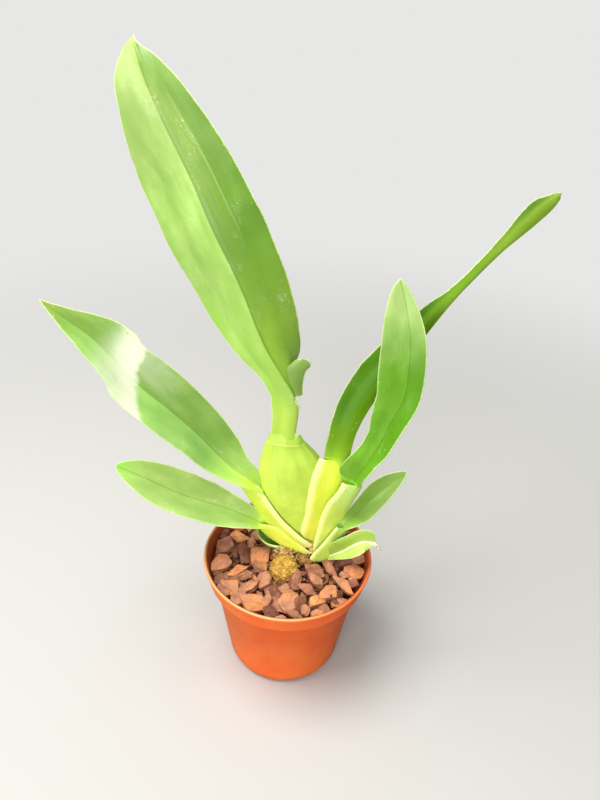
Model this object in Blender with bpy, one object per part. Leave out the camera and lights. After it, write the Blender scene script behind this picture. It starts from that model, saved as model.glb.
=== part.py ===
"""A young potted orchid: one flattened bulb in a fan of leaves, rooted in bark in a round plastic pot.

The origin is the middle of the pot's underside, with +Z up. The fan of leaves lies in a plane along X,
and its face looks along -Y. Lengths below are in millimetres, and add_solid turns them into metres.
"""

import math
import random

import bmesh
import bpy
import numpy as np

MM = 0.001
GAP = 0.35  # clear space between pieces that would touch

# Pot
POT_SEGMENTS = 64
RIM_RADIUS = 40.0
POT_HEIGHT = 62.0
FOOT_RADIUS = 27.9  # of the wall just above the rounded bottom corner
WALL_TOP_RADIUS = 35.4  # of the wall just under the collar
WALL = 1.1
COLLAR_DROP = 6.0  # from the rim down to where the collar ends
LIP = 1.5  # width of the flat top of the rim
CORNER = 4.7
FLOOR_TOP = 2.4
FOOT_RECESS = 1.2  # how far the underside is raised between foot ring and centre pad
FOOT_RING_RADIUS = 20.0  # inside of the foot ring
PAD_RADIUS = 7.0
DRAIN_HOLES = 6
DRAIN_RADIUS = 3.2
DRAIN_CIRCLE = 13.5
DRAIN_TURN = math.radians(17)

# Bark
BED_TOP = 51.0
CHIP_SIZE = 10.5
CHIP_SEED = 11
CHIP_MIDDLE = 55.3  # mean height of the chips' tops
CHIP_SPREAD = 1.5
CHIP_LEAN = 0.12  # steepest slope of a chip's top
CHIP_LEAST_AREA = 16.0
FRONT_RISE = 1.3  # how much higher the chips lie at the front than in the middle

# Starter plug and rhizome
PLUG_AT = (-1.5, -5.5)
PLUG_RADIUS = 7.8
PLUG_BOTTOM = 33.0
PLUG_TOP = 59.3
FAN_Y = 8.0
RHIZOME_RADIUS = 3.9
RHIZOME_FROM = (1.0, FAN_Y, 55.2)
RHIZOME_TO = (16.5, FAN_Y, 55.4)
ROOT_RADIUS = 1.3

# Bulb
BULB_FOOT = (8.0, FAN_Y, 60.2)
BULB_APEX = (-2.5, 9.0, 121.0)
BULB_HALF_WIDTHS = (3.2, 6.4, 11.0, 14.0, 15.6, 16.2, 16.3, 15.8, 14.7, 12.4, 7.6)
BULB_HALF_DEPTHS = (3.2, 4.8, 6.0, 6.7, 7.0, 7.0, 7.0, 6.8, 6.4, 5.6, 4.4)

# Leaves
LEAF_THICKNESS = 0.8
LEAF_STATIONS = 20
LEAF_ARM_POINTS = 4  # across each half of a leaf

# Each leaf is a smooth spine with a half on each side. Up to its joint it is a sheath folded round the
# bulb, `depth` away from the fan's plane at its base, half way and at the joint. Past the joint its halves
# open to `fold` degrees from the direction that the leaf faces. The widths of the halves (`left` serves for
# both where there is no `right`), the folds and the faces are evenly spaced from base to tip, and the last
# `tip` share of the length narrows to a point.
LEAVES = {
    "leaf_top": {
        "spine": ((1, 8, 121.9), (0.8, 6.2, 136), (-1.9, 3.4, 150), (-8.5, 0.8, 163.5), (-14.4, -0.5, 177.5),
                  (-20, -1, 192), (-26.5, -0.7, 206.5), (-33.4, 1, 221), (-41, 4.9, 236.5), (-48.3, 8, 250.2),
                  (-55.5, 12.5, 265), (-59.6, 19.5, 275)),
        "left": (1.5, 3, 15.9, 17.6, 17, 14.6, 10),
        "right": (10.5, 10.5, 17, 26, 25.5, 22, 16),
        "fold": (22, 30, 56, 65, 66, 70, 75),
        "face": ((-0.9, 0.42, 0), (-0.8, 0.6, 0), (-0.3, 0.95, 0), (0.05, 1, 0), (0.1, 1, 0), (0.1, 1, 0),
                 (0.05, 1, 0), (0, 1, 0)),
        "joint": 0.0, "depth": (1, 1, 1), "tip": 0.3,
    },
    "leaf_left_upper": {
        "spine": ((1.5, FAN_Y, 63), (-7.5, FAN_Y, 70), (-14.5, FAN_Y, 78), (-19.5, FAN_Y, 87.5),
                  (-24, FAN_Y, 98), (-32, 7, 112), (-42.5, 5.5, 125.5), (-54.5, 3, 140), (-65.5, 1, 152.5),
                  (-79, 0, 170.5), (-88, -1, 179), (-98, -1, 188)),
        "left": (8, 12, 12.5, 12.8, 13, 12.5, 12),
        "fold": (60, 60, 60, 70, 76, 78, 80),
        "face": ((0.7, 0, 0.7), (0.9, 0, 0.4), (0.6, -0.7, 0.45), (0.5, -0.72, 0.45), (0.5, -0.7, 0.5)),
        "joint": 0.26, "depth": (6.8, 9.4, 9.4), "tip": 0.35,
    },
    "leaf_left_lower": {
        "spine": ((-0.5, FAN_Y, 61), (-9.5, FAN_Y, 66), (-16, 7.5, 72), (-22, 6, 78.5), (-33, 5, 84.5),
                  (-47, 3, 91), (-57, 2, 96.5), (-67, 1, 103), (-78, 1, 108.5)),
        "left": (5, 7, 8.8, 9.5, 9.5, 9, 8),
        "right": (5, 5.5, 7.5, 9.2, 9.5, 9, 8),
        "fold": (60, 60, 70, 75, 80, 82),
        "face": ((0.6, 0, 0.8), (0.6, -0.2, 0.8), (0.25, -0.7, 0.65), (0.3, -0.65, 0.7)),
        "joint": 0.26, "depth": (8, 9.5, 9), "tip": 0.3,
    },
    "leaf_right_back": {
        "spine": ((14, FAN_Y, 63), (19.5, FAN_Y, 76), (22, FAN_Y, 91), (24, 7.8, 106), (25.6, 8.4, 122),
                  (30, 10.5, 137.5), (38.5, 14, 152), (47, 16.5, 166), (56.5, 18.8, 181.5), (66.5, 20.5, 196.5),
                  (77.5, 22.3, 210), (87, 23.6, 220), (95, 25, 231)),
        "left": (6, 12, 8.8, 8.6, 11, 7, 3, 3.5, 5),
        "right": (6, 12, 11, 11, 14.5, 10.5, 3.3, 4.2, 10),
        "fold": (60, 60, 45, 32, 30, 30, 30),
        "face": ((-1, 0, 0.1), (-1, 0, 0.1), (-0.9, 0.4, 0.1), (-0.8, 0.5, 0.3), (-0.75, 0.5, 0.43),
                 (-0.6, 0.65, 0.45), (-0.4, 0.8, 0.4), (-0.45, 0.75, 0.5), (-0.5, 0.75, 0.5)),
        "joint": 0.27, "depth": (6.2, 8.4, 8.2), "tip": 0.18,
    },
    "leaf_right_front": {
        "spine": ((17, FAN_Y, 61), (22.8, FAN_Y, 72), (26.4, 7, 84), (29.4, 4.8, 96.5), (32, 1.8, 110.5),
                  (35, -0.8, 124), (38.8, -2.4, 138.5), (42.5, -3.5, 153), (43.1, -4.5, 168), (41.5, -5, 183),
                  (38, -5.2, 195.5), (34.5, -5.5, 206)),
        "left": (6, 10, 8, 4.5, 6.5, 10, 12, 13, 13),
        "right": (6, 10, 8, 5.4, 6.8, 6.8, 6.8, 6.7, 6),
        "fold": (60, 60, 60, 65, 75, 78),
        "face": ((-0.95, 0, 0.3), (-0.95, 0, 0.3), (-0.75, -0.7, 0.3), (-0.1, -1, 0.2), (0, -1, 0.2)),
        "joint": 0.28, "depth": (7.8, 10.8, 10.5), "tip": 0.4,
    },
    "leaf_right_low": {
        "spine": ((19.2, FAN_Y, 59.2), (25.2, 8.5, 65.5), (30, 11, 73.5), (35, 13, 81.5), (42, 16, 89),
                  (54, 20, 99)),
        "left": (4, 6, 6, 6.5, 6, 5),
        "fold": (50, 50, 60, 75),
        "face": ((-0.8, 0, 0.6), (-0.8, 0, 0.6), (-0.6, -0.6, 0.6), (-0.5, -0.6, 0.6)),
        "joint": 0.3, "depth": (9.3, 9, 7), "tip": 0.35,
    },
    "bract_right": {
        "spine": ((18, -5, 60), (22, -4.5, 62), (26, -3.5, 66), (31, -2, 70), (37, -2, 73),
                  (42.5, -2, 70.5)),
        "left": (2.5, 5, 6, 6, 4),
        "fold": (35, 50, 60, 60),
        "face": ((-0.3, -0.2, 0.9), (-0.2, -0.5, 0.9)),
        "joint": 0.0, "depth": (1, 1, 1), "tip": 0.3,
    },
    "bract_front_left": {
        "spine": ((-3.5, FAN_Y, 59.4), (-9, FAN_Y, 61.8), (-14, 7.5, 65.5), (-18.5, 7, 71)),
        "left": (4, 6, 6, 3),
        "fold": (50, 50, 60),
        "face": ((0.5, 0, 0.9), (0.8, 0, 0.6)),
        "joint": 0.6, "depth": (9.4, 10.8, 11.2), "tip": 0.4,
    },
}

# Colours: linear red, green, blue
TERRACOTTA = (0.83, 0.17, 0.045)
BARK = (0.36, 0.16, 0.095)
BARK_DARK = (0.10, 0.05, 0.03)
PLUG_YELLOW = (0.45, 0.28, 0.06)
RHIZOME_BROWN = (0.16, 0.09, 0.04)
ROOT_CREAM = (0.62, 0.55, 0.38)
BULB_GREEN = (0.60, 0.80, 0.08)
LEAF_GREEN = (0.24, 0.50, 0.06)
BRACT_GREEN = (0.50, 0.70, 0.16)


def clear_scene():
    for obj in list(bpy.data.objects):
        bpy.data.objects.remove(obj, do_unlink=True)


def material(name, colour, roughness):
    made = bpy.data.materials.get(name)
    if made is None:
        made = bpy.data.materials.new(name)
        made.use_nodes = True
        shader = made.node_tree.nodes["Principled BSDF"]
        shader.inputs["Base Color"].default_value = (*colour, 1.0)
        shader.inputs["Roughness"].default_value = roughness
        shader.inputs["Metallic"].default_value = 0.0
        made.diffuse_color = (*colour, 1.0)
    return made


def add_solid(name, points, faces, made_of, sharp_over=None):
    """A mesh object from points in millimetres, with its faces turned outwards."""
    mesh = bpy.data.meshes.new(name)
    mesh.from_pydata([tuple(float(v) * MM for v in point) for point in points], [], faces)
    shaped = bmesh.new()
    shaped.from_mesh(mesh)
    bmesh.ops.recalc_face_normals(shaped, faces=shaped.faces)
    shaped.to_mesh(mesh)
    shaped.free()
    mesh.materials.append(made_of)
    obj = bpy.data.objects.new(name, mesh)
    bpy.context.scene.collection.objects.link(obj)
    if sharp_over is not None:
        mesh.shade_smooth()
        mesh.set_sharp_from_angle(angle=math.radians(sharp_over))
    return obj


def make_cutter(obj):
    obj.hide_render = True
    obj.display_type = "WIRE"
    return obj


def cut(obj, cutter):
    modifier = obj.modifiers.new("cut", "BOOLEAN")
    modifier.operation = "DIFFERENCE"
    modifier.solver = "EXACT"
    modifier.object = cutter


def turned(profile, segments):
    """Points and faces of a (radius, height) profile turned about Z. A point on the axis is a pole."""
    points = []
    rings = []
    for radius, height in profile:
        if radius == 0:
            rings.append([len(points)])
            points.append((0.0, 0.0, height))
            continue
        rings.append(list(range(len(points), len(points) + segments)))
        for i in range(segments):
            angle = 2 * math.pi * i / segments
            points.append((radius * math.cos(angle), radius * math.sin(angle), height))
    return points, skin(rings, segments)


def skin(rings, segments):
    """Faces between neighbouring rings of point numbers, where a ring of one point closes the end."""
    faces = []
    for lower, upper in zip(rings, rings[1:]):
        for i in range(segments):
            j = (i + 1) % segments
            if len(lower) == 1:
                faces.append((lower[0], upper[j], upper[i]))
            elif len(upper) == 1:
                faces.append((lower[i], lower[j], upper[0]))
            else:
                faces.append((lower[i], lower[j], upper[j], upper[i]))
    return faces


def inner_wall(height):
    """Radius of the inside of the pot's wall at a height."""
    climb = (height - CORNER) / (POT_HEIGHT - COLLAR_DROP - CORNER)
    return FOOT_RADIUS + (WALL_TOP_RADIUS - FOOT_RADIUS) * climb - WALL


def build_pot():
    plastic = material("terracotta_plastic", TERRACOTTA, 0.4)
    collar = POT_HEIGHT - COLLAR_DROP
    profile = [
        (0, 0), (PAD_RADIUS, 0), (PAD_RADIUS + 1, FOOT_RECESS),
        (FOOT_RING_RADIUS - 1, FOOT_RECESS), (FOOT_RING_RADIUS, 0), (FOOT_RADIUS - 4.4, 0),
        (FOOT_RADIUS - 2.2, 0.7), (FOOT_RADIUS - 0.7, 2.4), (FOOT_RADIUS, CORNER),
        (WALL_TOP_RADIUS, collar - 0.4), (RIM_RADIUS - 2.4, collar + 0.2),
        (RIM_RADIUS - 1.6, POT_HEIGHT - 1.9), (RIM_RADIUS - 0.4, POT_HEIGHT - 1.6),
        (RIM_RADIUS, POT_HEIGHT - 1.1), (RIM_RADIUS, POT_HEIGHT - 0.4),
        (RIM_RADIUS - 0.4, POT_HEIGHT), (RIM_RADIUS - LIP, POT_HEIGHT),
        (RIM_RADIUS - LIP - 0.5, POT_HEIGHT - 0.5), (RIM_RADIUS - 3.4, collar + 0.9),
        (WALL_TOP_RADIUS - WALL, collar), (inner_wall(CORNER), CORNER + 0.3),
        (FOOT_RADIUS - 2.4, FLOOR_TOP + 0.7), (FOOT_RADIUS - 4.2, FLOOR_TOP), (0, FLOOR_TOP),
    ]
    points, faces = turned(profile, POT_SEGMENTS)
    pot = add_solid("pot", points, faces, plastic, sharp_over=50)
    for i in range(DRAIN_HOLES):
        angle = 2 * math.pi * i / DRAIN_HOLES + DRAIN_TURN
        hole, sides = turned([(0, -3), (DRAIN_RADIUS, -3), (DRAIN_RADIUS, 6), (0, 6)], 20)
        across, along = DRAIN_CIRCLE * math.cos(angle), DRAIN_CIRCLE * math.sin(angle)
        moved = [(x + across, y + along, z) for x, y, z in hole]
        cut(pot, make_cutter(add_solid(f"drain_cutter_{i + 1}", moved, sides, plastic)))


def plug_shape(grow):
    """The starter plug's points and faces, every side moved out by `grow`."""
    low, high = PLUG_BOTTOM - grow, PLUG_TOP + grow
    wide = PLUG_RADIUS + grow
    profile = [(0, low), (wide - 2.2, low), (wide - 1.0, low + 1.2), (wide, high - 7),
               (wide - 0.5, high - 3), (wide - 2.4, high - 0.7), (wide - 4.8, high), (0, high)]
    points, faces = turned(profile, 24)
    return [(x + PLUG_AT[0], y + PLUG_AT[1], z) for x, y, z in points], faces


def tube(path, radii, sides):
    """Points and faces of a closed round tube along a path, drawn in to a blunt point at both ends."""
    path = np.array(path, float)
    ways = np.gradient(path, axis=0)
    points = [tuple(path[0] - ways[0] / np.linalg.norm(ways[0]) * radii[0] * 0.5)]
    rings = [[0]]
    for centre, way, radius in zip(path, ways, radii):
        way = way / np.linalg.norm(way)
        across = np.cross(way, (0.1, 1.0, 0.2))
        across /= np.linalg.norm(across)
        up = np.cross(across, way)
        rings.append(list(range(len(points), len(points) + sides)))
        for i in range(sides):
            angle = 2 * math.pi * i / sides
            points.append(tuple(centre + radius * (math.cos(angle) * across + math.sin(angle) * up)))
    rings.append([len(points)])
    points.append(tuple(path[-1] + ways[-1] / np.linalg.norm(ways[-1]) * radii[-1] * 0.5))
    return points, skin(rings, sides)


def root_paths():
    """Four roots that leave the rhizome's underside and wander down through the bark."""
    top = RHIZOME_FROM[2] - RHIZOME_RADIUS - GAP
    starts = ((3.5, 9), (8, 5.5), (11.5, 10), (14.5, 6.5))
    ends = ((-13, 17, 12), (9, -13, 10), (6, 21, 9), (21, 6, 13))
    return [
        smooth(((x, y, top - 1.0), (x * 0.6 + a * 0.4, y * 0.7 + b * 0.3, top - 14),
                (x * 0.2 + a * 0.8, y * 0.3 + b * 0.7, c + 12), (a, b, c)), np.linspace(0, 1, 9))
        for (x, y), (a, b, c) in zip(starts, ends)
    ]


def root_radii(grow):
    return [ROOT_RADIUS * (1 - 0.35 * i / 8) + grow for i in range(9)]


def build_roots():
    cream = material("root_velamen", ROOT_CREAM, 0.7)
    for number, path in enumerate(root_paths(), 1):
        points, faces = tube(path, root_radii(0), 8)
        add_solid(f"root_{number:02d}", points, faces, cream, sharp_over=60)


def build_bed():
    """The bark under the top layer, as one body, with room for the plug and for each root."""
    dark = material("bark_deep", BARK_DARK, 0.9)
    low = FLOOR_TOP + GAP
    profile = [(0, low), (FOOT_RADIUS - 5.2, low), (inner_wall(CORNER) - GAP - 0.7, CORNER + 0.6),
               (inner_wall(BED_TOP / 2) - GAP, BED_TOP / 2), (inner_wall(BED_TOP) - GAP, BED_TOP),
               (0, BED_TOP)]
    points, faces = turned(profile, 48)
    bed = add_solid("bark_bed", points, faces, dark, sharp_over=50)
    points, faces = plug_shape(GAP)
    cut(bed, make_cutter(add_solid("plug_cutter", points, faces, dark)))
    for number, path in enumerate(root_paths(), 1):
        raised = np.vstack([path[0] + (0, 0, 4), path])
        points, faces = tube(raised, [ROOT_RADIUS + GAP] + root_radii(GAP), 8)
        cut(bed, make_cutter(add_solid(f"root_cutter_{number}", points, faces, dark)))


def clip(outline, at, facing):
    """The part of a convex outline behind the line through `at`, seen along `facing`."""
    kept = []
    for i, here in enumerate(outline):
        there = outline[(i + 1) % len(outline)]
        before = (here[0] - at[0]) * facing[0] + (here[1] - at[1]) * facing[1]
        after = (there[0] - at[0]) * facing[0] + (there[1] - at[1]) * facing[1]
        if before <= 0:
            kept.append(here)
        if before * after < 0:
            share = before / (before - after)
            crossing = [a + share * (b - a) for a, b in zip(here, there)]
            kept.append(tuple(crossing))
    return kept


def chip_sites(dice, reach):
    """Scattered chip centres, no two closer than most of a chip."""
    sites = []
    for _ in range(4000):
        radius, angle = reach * math.sqrt(dice.random()), 2 * math.pi * dice.random()
        site = (radius * math.cos(angle), radius * math.sin(angle))
        if all(math.dist(site, other) > CHIP_SIZE * 0.86 for other in sites):
            sites.append(site)
    return sites


def things_in_the_bark():
    """Circles (x, y, radius) of the bark's surface that the plug and the rhizome take up."""
    steps = 5
    found = [(*PLUG_AT, PLUG_RADIUS + 0.4)]
    for i in range(steps):
        share = i / (steps - 1)
        across = RHIZOME_FROM[0] + (RHIZOME_TO[0] - RHIZOME_FROM[0]) * share
        found.append((across, FAN_Y, RHIZOME_RADIUS + 0.65))
    return found


def build_chips():
    """The top layer: angular chips fitted together like paving, each with its own lean and height."""
    bark = material("bark_chip", BARK, 0.85)
    dice = random.Random(CHIP_SEED)
    edge = inner_wall(BED_TOP) - GAP
    sites = chip_sites(dice, edge - 3)
    taken = things_in_the_bark()
    number = 0
    for site in sites:
        outline = [(edge * math.cos(math.radians(a)), edge * math.sin(math.radians(a)))
                   for a in range(0, 360, 10)]
        for other in sites:
            if other == site:
                continue
            apart = math.dist(site, other)
            facing = ((other[0] - site[0]) / apart, (other[1] - site[1]) / apart)
            reach = (apart - GAP) / 2
            outline = clip(outline, (site[0] + facing[0] * reach, site[1] + facing[1] * reach), facing)
        for x, y, radius in taken:
            apart = math.dist(site, (x, y))
            facing = ((x - site[0]) / apart, (y - site[1]) / apart)
            outline = clip(outline, (x - facing[0] * radius, y - facing[1] * radius), facing)
        height = CHIP_MIDDLE + dice.uniform(-CHIP_SPREAD, CHIP_SPREAD) - FRONT_RISE * site[1] / edge
        lean = (dice.uniform(-CHIP_LEAN, CHIP_LEAN), dice.uniform(-CHIP_LEAN, CHIP_LEAN))
        outline = without_short_sides(outline)
        if len(outline) < 3 or area(outline) < CHIP_LEAST_AREA:
            continue
        number += 1
        points, faces = chip_shape(outline, height, lean)
        add_solid(f"bark_chip_{number:02d}", points, faces, bark)


def without_short_sides(outline):
    following = outline[1:] + outline[:1]
    return [here for here, there in zip(outline, following) if math.dist(here, there) > 1.2]


def area(outline):
    following = outline[1:] + outline[:1]
    return abs(sum(a[0] * b[1] - b[0] * a[1] for a, b in zip(outline, following))) / 2


def chip_shape(outline, height, lean):
    """A chip over an outline: drawn in at the foot, widest below the top, and bevelled at the top."""
    middle = (sum(x for x, _ in outline) / len(outline), sum(y for _, y in outline) / len(outline))
    points = []
    for share, level in ((0.86, BED_TOP + GAP), (1.0, height - 1.6), (0.80, height)):
        for x, y in outline:
            across, along = (x - middle[0]) * share, (y - middle[1]) * share
            tilt = 0 if level < BED_TOP + 1 else across * lean[0] + along * lean[1]
            points.append((middle[0] + across, middle[1] + along, level + tilt))
    sides = len(outline)
    faces = [tuple(range(sides)), tuple(range(2 * sides, 3 * sides))]
    for ring in (0, sides):
        for i in range(sides):
            j = (i + 1) % sides
            faces.append((ring + i, ring + j, ring + sides + j, ring + sides + i))
    return points, faces


def build_plug():
    points, faces = plug_shape(0)
    foam = material("plug_foam", PLUG_YELLOW, 0.95)
    add_solid("starter_plug", points, faces, foam, sharp_over=60)


def build_rhizome():
    """The short woody creeping stem that the bulb, the leaves and the roots grow from."""
    shares = np.linspace(0, 1, 9)
    start, end = np.array(RHIZOME_FROM), np.array(RHIZOME_TO)
    path = [start + (end - start) * share for share in shares]
    swell = 0.55 + 0.45 * np.sin(math.pi * (0.12 + 0.76 * shares))
    rings = 1 - 0.05 * (np.arange(len(shares)) % 2)
    points, faces = tube(path, RHIZOME_RADIUS * swell * rings, 14)
    brown = material("rhizome_bark", RHIZOME_BROWN, 0.9)
    add_solid("rhizome", points, faces, brown, sharp_over=60)


def build_bulb():
    """The flattened water-storing bulb, an oval in section and widest at mid height."""
    sides = 28
    shares = np.linspace(0, 1, 15)
    widths = smooth(BULB_HALF_WIDTHS, shares)
    depths = smooth(BULB_HALF_DEPTHS, shares)
    start, end = np.array(BULB_FOOT), np.array(BULB_APEX)
    points = [tuple(start)]
    rings = [[0]]
    for share, width, depth in zip(shares, widths, depths):
        centre = start + (end - start) * share
        rings.append(list(range(len(points), len(points) + sides)))
        for i in range(sides):
            angle = 2 * math.pi * i / sides
            rim = (width * math.cos(angle), depth * math.sin(angle), 0)
            points.append(tuple(centre + rim))
    rings.append([len(points)])
    points.append(tuple(end))
    green = material("bulb", BULB_GREEN, 0.4)
    add_solid("pseudobulb", points, skin(rings, sides), green, sharp_over=50)


def smooth(values, shares):
    """A smooth curve through evenly spaced values, read at shares of its length from 0 to 1."""
    values = np.array(values, float)
    values = np.concatenate([[2 * values[0] - values[1]], values, [2 * values[-1] - values[-2]]])
    place = np.clip(shares, 0, 1) * (len(values) - 3)
    first = np.minimum(place.astype(int), len(values) - 4)
    step = place - first
    if values.ndim > 1:
        step = step[:, None]
    a, b, c, d = (values[first + i] for i in range(4))
    bend = 2 * a - 5 * b + 4 * c - d
    twist = 3 * b - a - 3 * c + d
    return 0.5 * (2 * b + (c - a) * step + bend * step**2 + twist * step**3)


def even_spine(spine, count):
    """Points evenly spaced by length along the smooth curve through the spine's points."""
    fine = smooth(spine, np.linspace(0, 1, 400))
    run = np.concatenate([[0], np.cumsum(np.linalg.norm(np.diff(fine, axis=0), axis=1))])
    wanted = np.linspace(0, run[-1], count)
    return np.stack([np.interp(wanted, run, fine[:, axis]) for axis in range(3)], axis=1)


def unit(vectors):
    return vectors / np.linalg.norm(vectors, axis=1)[:, None]


def eased(value, low, high):
    share = np.clip((value - low) / (high - low), 0, 1)
    return share * share * (3 - 2 * share)


def leaf_sheet(leaf):
    """The middle surface of a leaf: rows across it, each a list of points from base to tip."""
    shares = np.linspace(0, 1, LEAF_STATIONS)
    spine = even_spine(leaf["spine"], LEAF_STATIONS)
    along = unit(np.gradient(spine, axis=0))
    face = smooth(leaf["face"], shares)
    face = unit(face - (face * along).sum(1)[:, None] * along)
    side = np.cross(along, face)
    fold = np.radians(smooth(leaf["fold"], shares))
    joint = leaf["joint"]
    opened = eased(shares, joint - 0.05, joint + 0.12) if joint else np.ones(LEAF_STATIONS)
    depth = smooth(leaf["depth"], shares / max(joint, 0.01))
    narrowing = np.clip((shares - 1 + leaf["tip"]) / leaf["tip"], 0, 1)
    taper = np.clip(1 - narrowing**2, 0, 1) ** 0.6
    rows = []
    for way, half in ((-1, "left"), (1, "right")):
        width = np.maximum(smooth(leaf.get(half, leaf["left"]), shares) * taper, 0.3)
        arm = []
        for i in range(1, LEAF_ARM_POINTS + 1):
            share = i / LEAF_ARM_POINTS
            turn = share * math.pi / 2
            spread = math.pi / 2 - (math.pi / 2 - fold) * min(1, 0.4 + share)
            rise = width * (1 - math.cos(turn)) * (1 - opened) + width * share * np.cos(spread) * opened
            reach = depth * math.sin(turn) * (1 - opened) + width * share * np.sin(spread) * opened
            arm.append(spine + rise[:, None] * face + way * reach[:, None] * side)
        rows.append(arm)
    return np.array(rows[0][::-1] + [spine] + rows[1])


def build_leaf(name, leaf):
    """One leaf with its sheath, as a solid that thins towards its margins."""
    sheet = leaf_sheet(leaf)
    across = np.gradient(sheet, axis=0)
    along = np.gradient(sheet, axis=1)
    normal = np.cross(across, along)
    normal /= np.linalg.norm(normal, axis=2)[:, :, None]
    rows = len(sheet)
    place = np.abs(np.linspace(-1, 1, rows))
    half = (LEAF_THICKNESS / 2) * (1 - 0.5 * place**3)
    upper = sheet + normal * half[:, None, None]
    lower = sheet - normal * half[:, None, None]
    count = sheet.shape[1]
    points = np.concatenate([upper.reshape(-1, 3), lower.reshape(-1, 3)])
    under = rows * count
    faces = []
    for i in range(rows - 1):
        for j in range(count - 1):
            corner = i * count + j
            quad = (corner, corner + 1, corner + count + 1, corner + count)
            faces.append(quad)
            faces.append(tuple(under + k for k in reversed(quad)))
    border = list(range(count))
    border += [i * count + count - 1 for i in range(1, rows)]
    border += [(rows - 1) * count + j for j in range(count - 2, -1, -1)]
    border += [i * count for i in range(rows - 2, 0, -1)]
    for here, there in zip(border, border[1:] + border[:1]):
        faces.append((there, here, under + here, under + there))
    made_of = (material("bract", BRACT_GREEN, 0.5) if name.startswith("bract")
               else material("leaf", LEAF_GREEN, 0.35))
    add_solid(name, points, faces, made_of, sharp_over=60)


def main():
    clear_scene()
    build_pot()
    build_bed()
    build_chips()
    build_plug()
    build_rhizome()
    build_roots()
    build_bulb()
    for name, leaf in LEAVES.items():
        build_leaf(name, leaf)


main()
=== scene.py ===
"""The finished look of a young potted orchid: pot, bark, starter plug, rhizome, roots, bulb and leaves.

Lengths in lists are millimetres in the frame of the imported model: the origin is the middle of the pot's
underside, +Z is up, and the fan of leaves lies along X with its face towards -Y.
"""

import math
import random

import bmesh
import bpy
import numpy as np
from mathutils import Euler, Matrix, Vector, noise


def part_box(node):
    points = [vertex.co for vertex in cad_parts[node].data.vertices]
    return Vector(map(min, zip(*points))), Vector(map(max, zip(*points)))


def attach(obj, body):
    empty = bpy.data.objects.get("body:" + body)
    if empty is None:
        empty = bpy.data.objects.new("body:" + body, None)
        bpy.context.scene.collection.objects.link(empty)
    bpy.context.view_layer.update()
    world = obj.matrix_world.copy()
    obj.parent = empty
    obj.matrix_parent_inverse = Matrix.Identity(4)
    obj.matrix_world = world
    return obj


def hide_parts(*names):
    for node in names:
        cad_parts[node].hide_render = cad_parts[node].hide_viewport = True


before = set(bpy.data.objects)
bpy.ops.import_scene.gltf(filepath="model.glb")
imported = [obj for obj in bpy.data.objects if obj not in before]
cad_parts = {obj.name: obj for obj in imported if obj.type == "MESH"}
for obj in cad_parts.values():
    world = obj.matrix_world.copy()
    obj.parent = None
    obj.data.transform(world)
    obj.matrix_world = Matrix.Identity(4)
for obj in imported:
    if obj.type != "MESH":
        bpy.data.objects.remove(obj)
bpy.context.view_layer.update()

MM = 0.001


# ---------------------------------------------------------------------------------------------------------
# The pot: a thin nursery pot, injection-moulded in terracotta-coloured polypropylene. The wall is one skin
# turned round the axis, with a collar and a flat rolled lip, and six drain holes are left in the floor.

def add(tree, kind, inputs=None, **settings):
    """A node in a tree. `inputs` gives a socket, by name or number, a value or another node's output."""
    made = tree.nodes.new(kind)
    for key, value in settings.items():
        setattr(made, key, value)
    for key, value in (inputs or {}).items():
        socket = made.inputs[key]
        if isinstance(value, bpy.types.NodeSocket):
            tree.links.new(value, socket)
        else:
            socket.default_value = value
    return made


def geometry_tree(name, wanted):
    """An empty Geometry Nodes tree with named inputs, and its group input and output nodes."""
    tree = bpy.data.node_groups.new(name, "GeometryNodeTree")
    tree.interface.new_socket("Geometry", in_out="INPUT", socket_type="NodeSocketGeometry")
    for title, kind in wanted.items():
        tree.interface.new_socket(title, in_out="INPUT", socket_type="NodeSocket" + kind)
    tree.interface.new_socket("Geometry", in_out="OUTPUT", socket_type="NodeSocketGeometry")
    return tree, tree.nodes.new("NodeGroupInput").outputs, tree.nodes.new("NodeGroupOutput").inputs


def make_with(tree, host, values):
    """Replaces the host's mesh with the plain mesh that the tree makes from it."""
    modifier = host.modifiers.new("made", "NODES")
    modifier.node_group = tree
    for item in tree.interface.items_tree:
        if item.in_out == "INPUT" and item.name in values:
            modifier[item.identifier] = values[item.name]
    graph = bpy.context.evaluated_depsgraph_get()
    made = bpy.data.meshes.new_from_object(host.evaluated_get(graph))
    host.modifiers.remove(modifier)
    if made.materials and made.materials[0] is None:
        made.materials.pop(index=0)
    host.data = made
    return host


def new_object(name, points, edges, faces):
    """A mesh at the origin, from points in millimetres."""
    mesh = bpy.data.meshes.new(name)
    mesh.from_pydata([tuple(float(v) * MM for v in point) for point in points], edges, faces)
    made = bpy.data.objects.new(name, mesh)
    bpy.context.scene.collection.objects.link(made)
    return made


def face_outwards(obj, sharp_over):
    """Merges doubles, turns the faces outwards and shades them smooth except over sharp edges."""
    shaped = bmesh.new()
    shaped.from_mesh(obj.data)
    bmesh.ops.remove_doubles(shaped, verts=shaped.verts, dist=1e-6)
    bmesh.ops.recalc_face_normals(shaped, faces=shaped.faces)
    shaped.to_mesh(obj.data)
    shaped.free()
    obj.data.shade_smooth()
    obj.data.set_sharp_from_angle(angle=math.radians(sharp_over))


def painted(obj, material, sharp_over):
    """Gives the piece its material, and its faces their direction and shading."""
    obj.data.materials.append(material)
    face_outwards(obj, sharp_over)
    return obj


def finished(obj, slot, *nodes):
    """The piece rides with the object and stands for its CAD nodes; its slot is not used."""
    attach(obj, "root")
    if nodes:
        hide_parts(*nodes)


def linear(code):
    """A linear colour from a six-digit sRGB code."""
    parts = [int(code[i:i + 2], 16) / 255 for i in (0, 2, 4)]
    return (*[p / 12.92 if p <= 0.04045 else ((p + 0.055) / 1.055) ** 2.4 for p in parts], 1.0)


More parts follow.
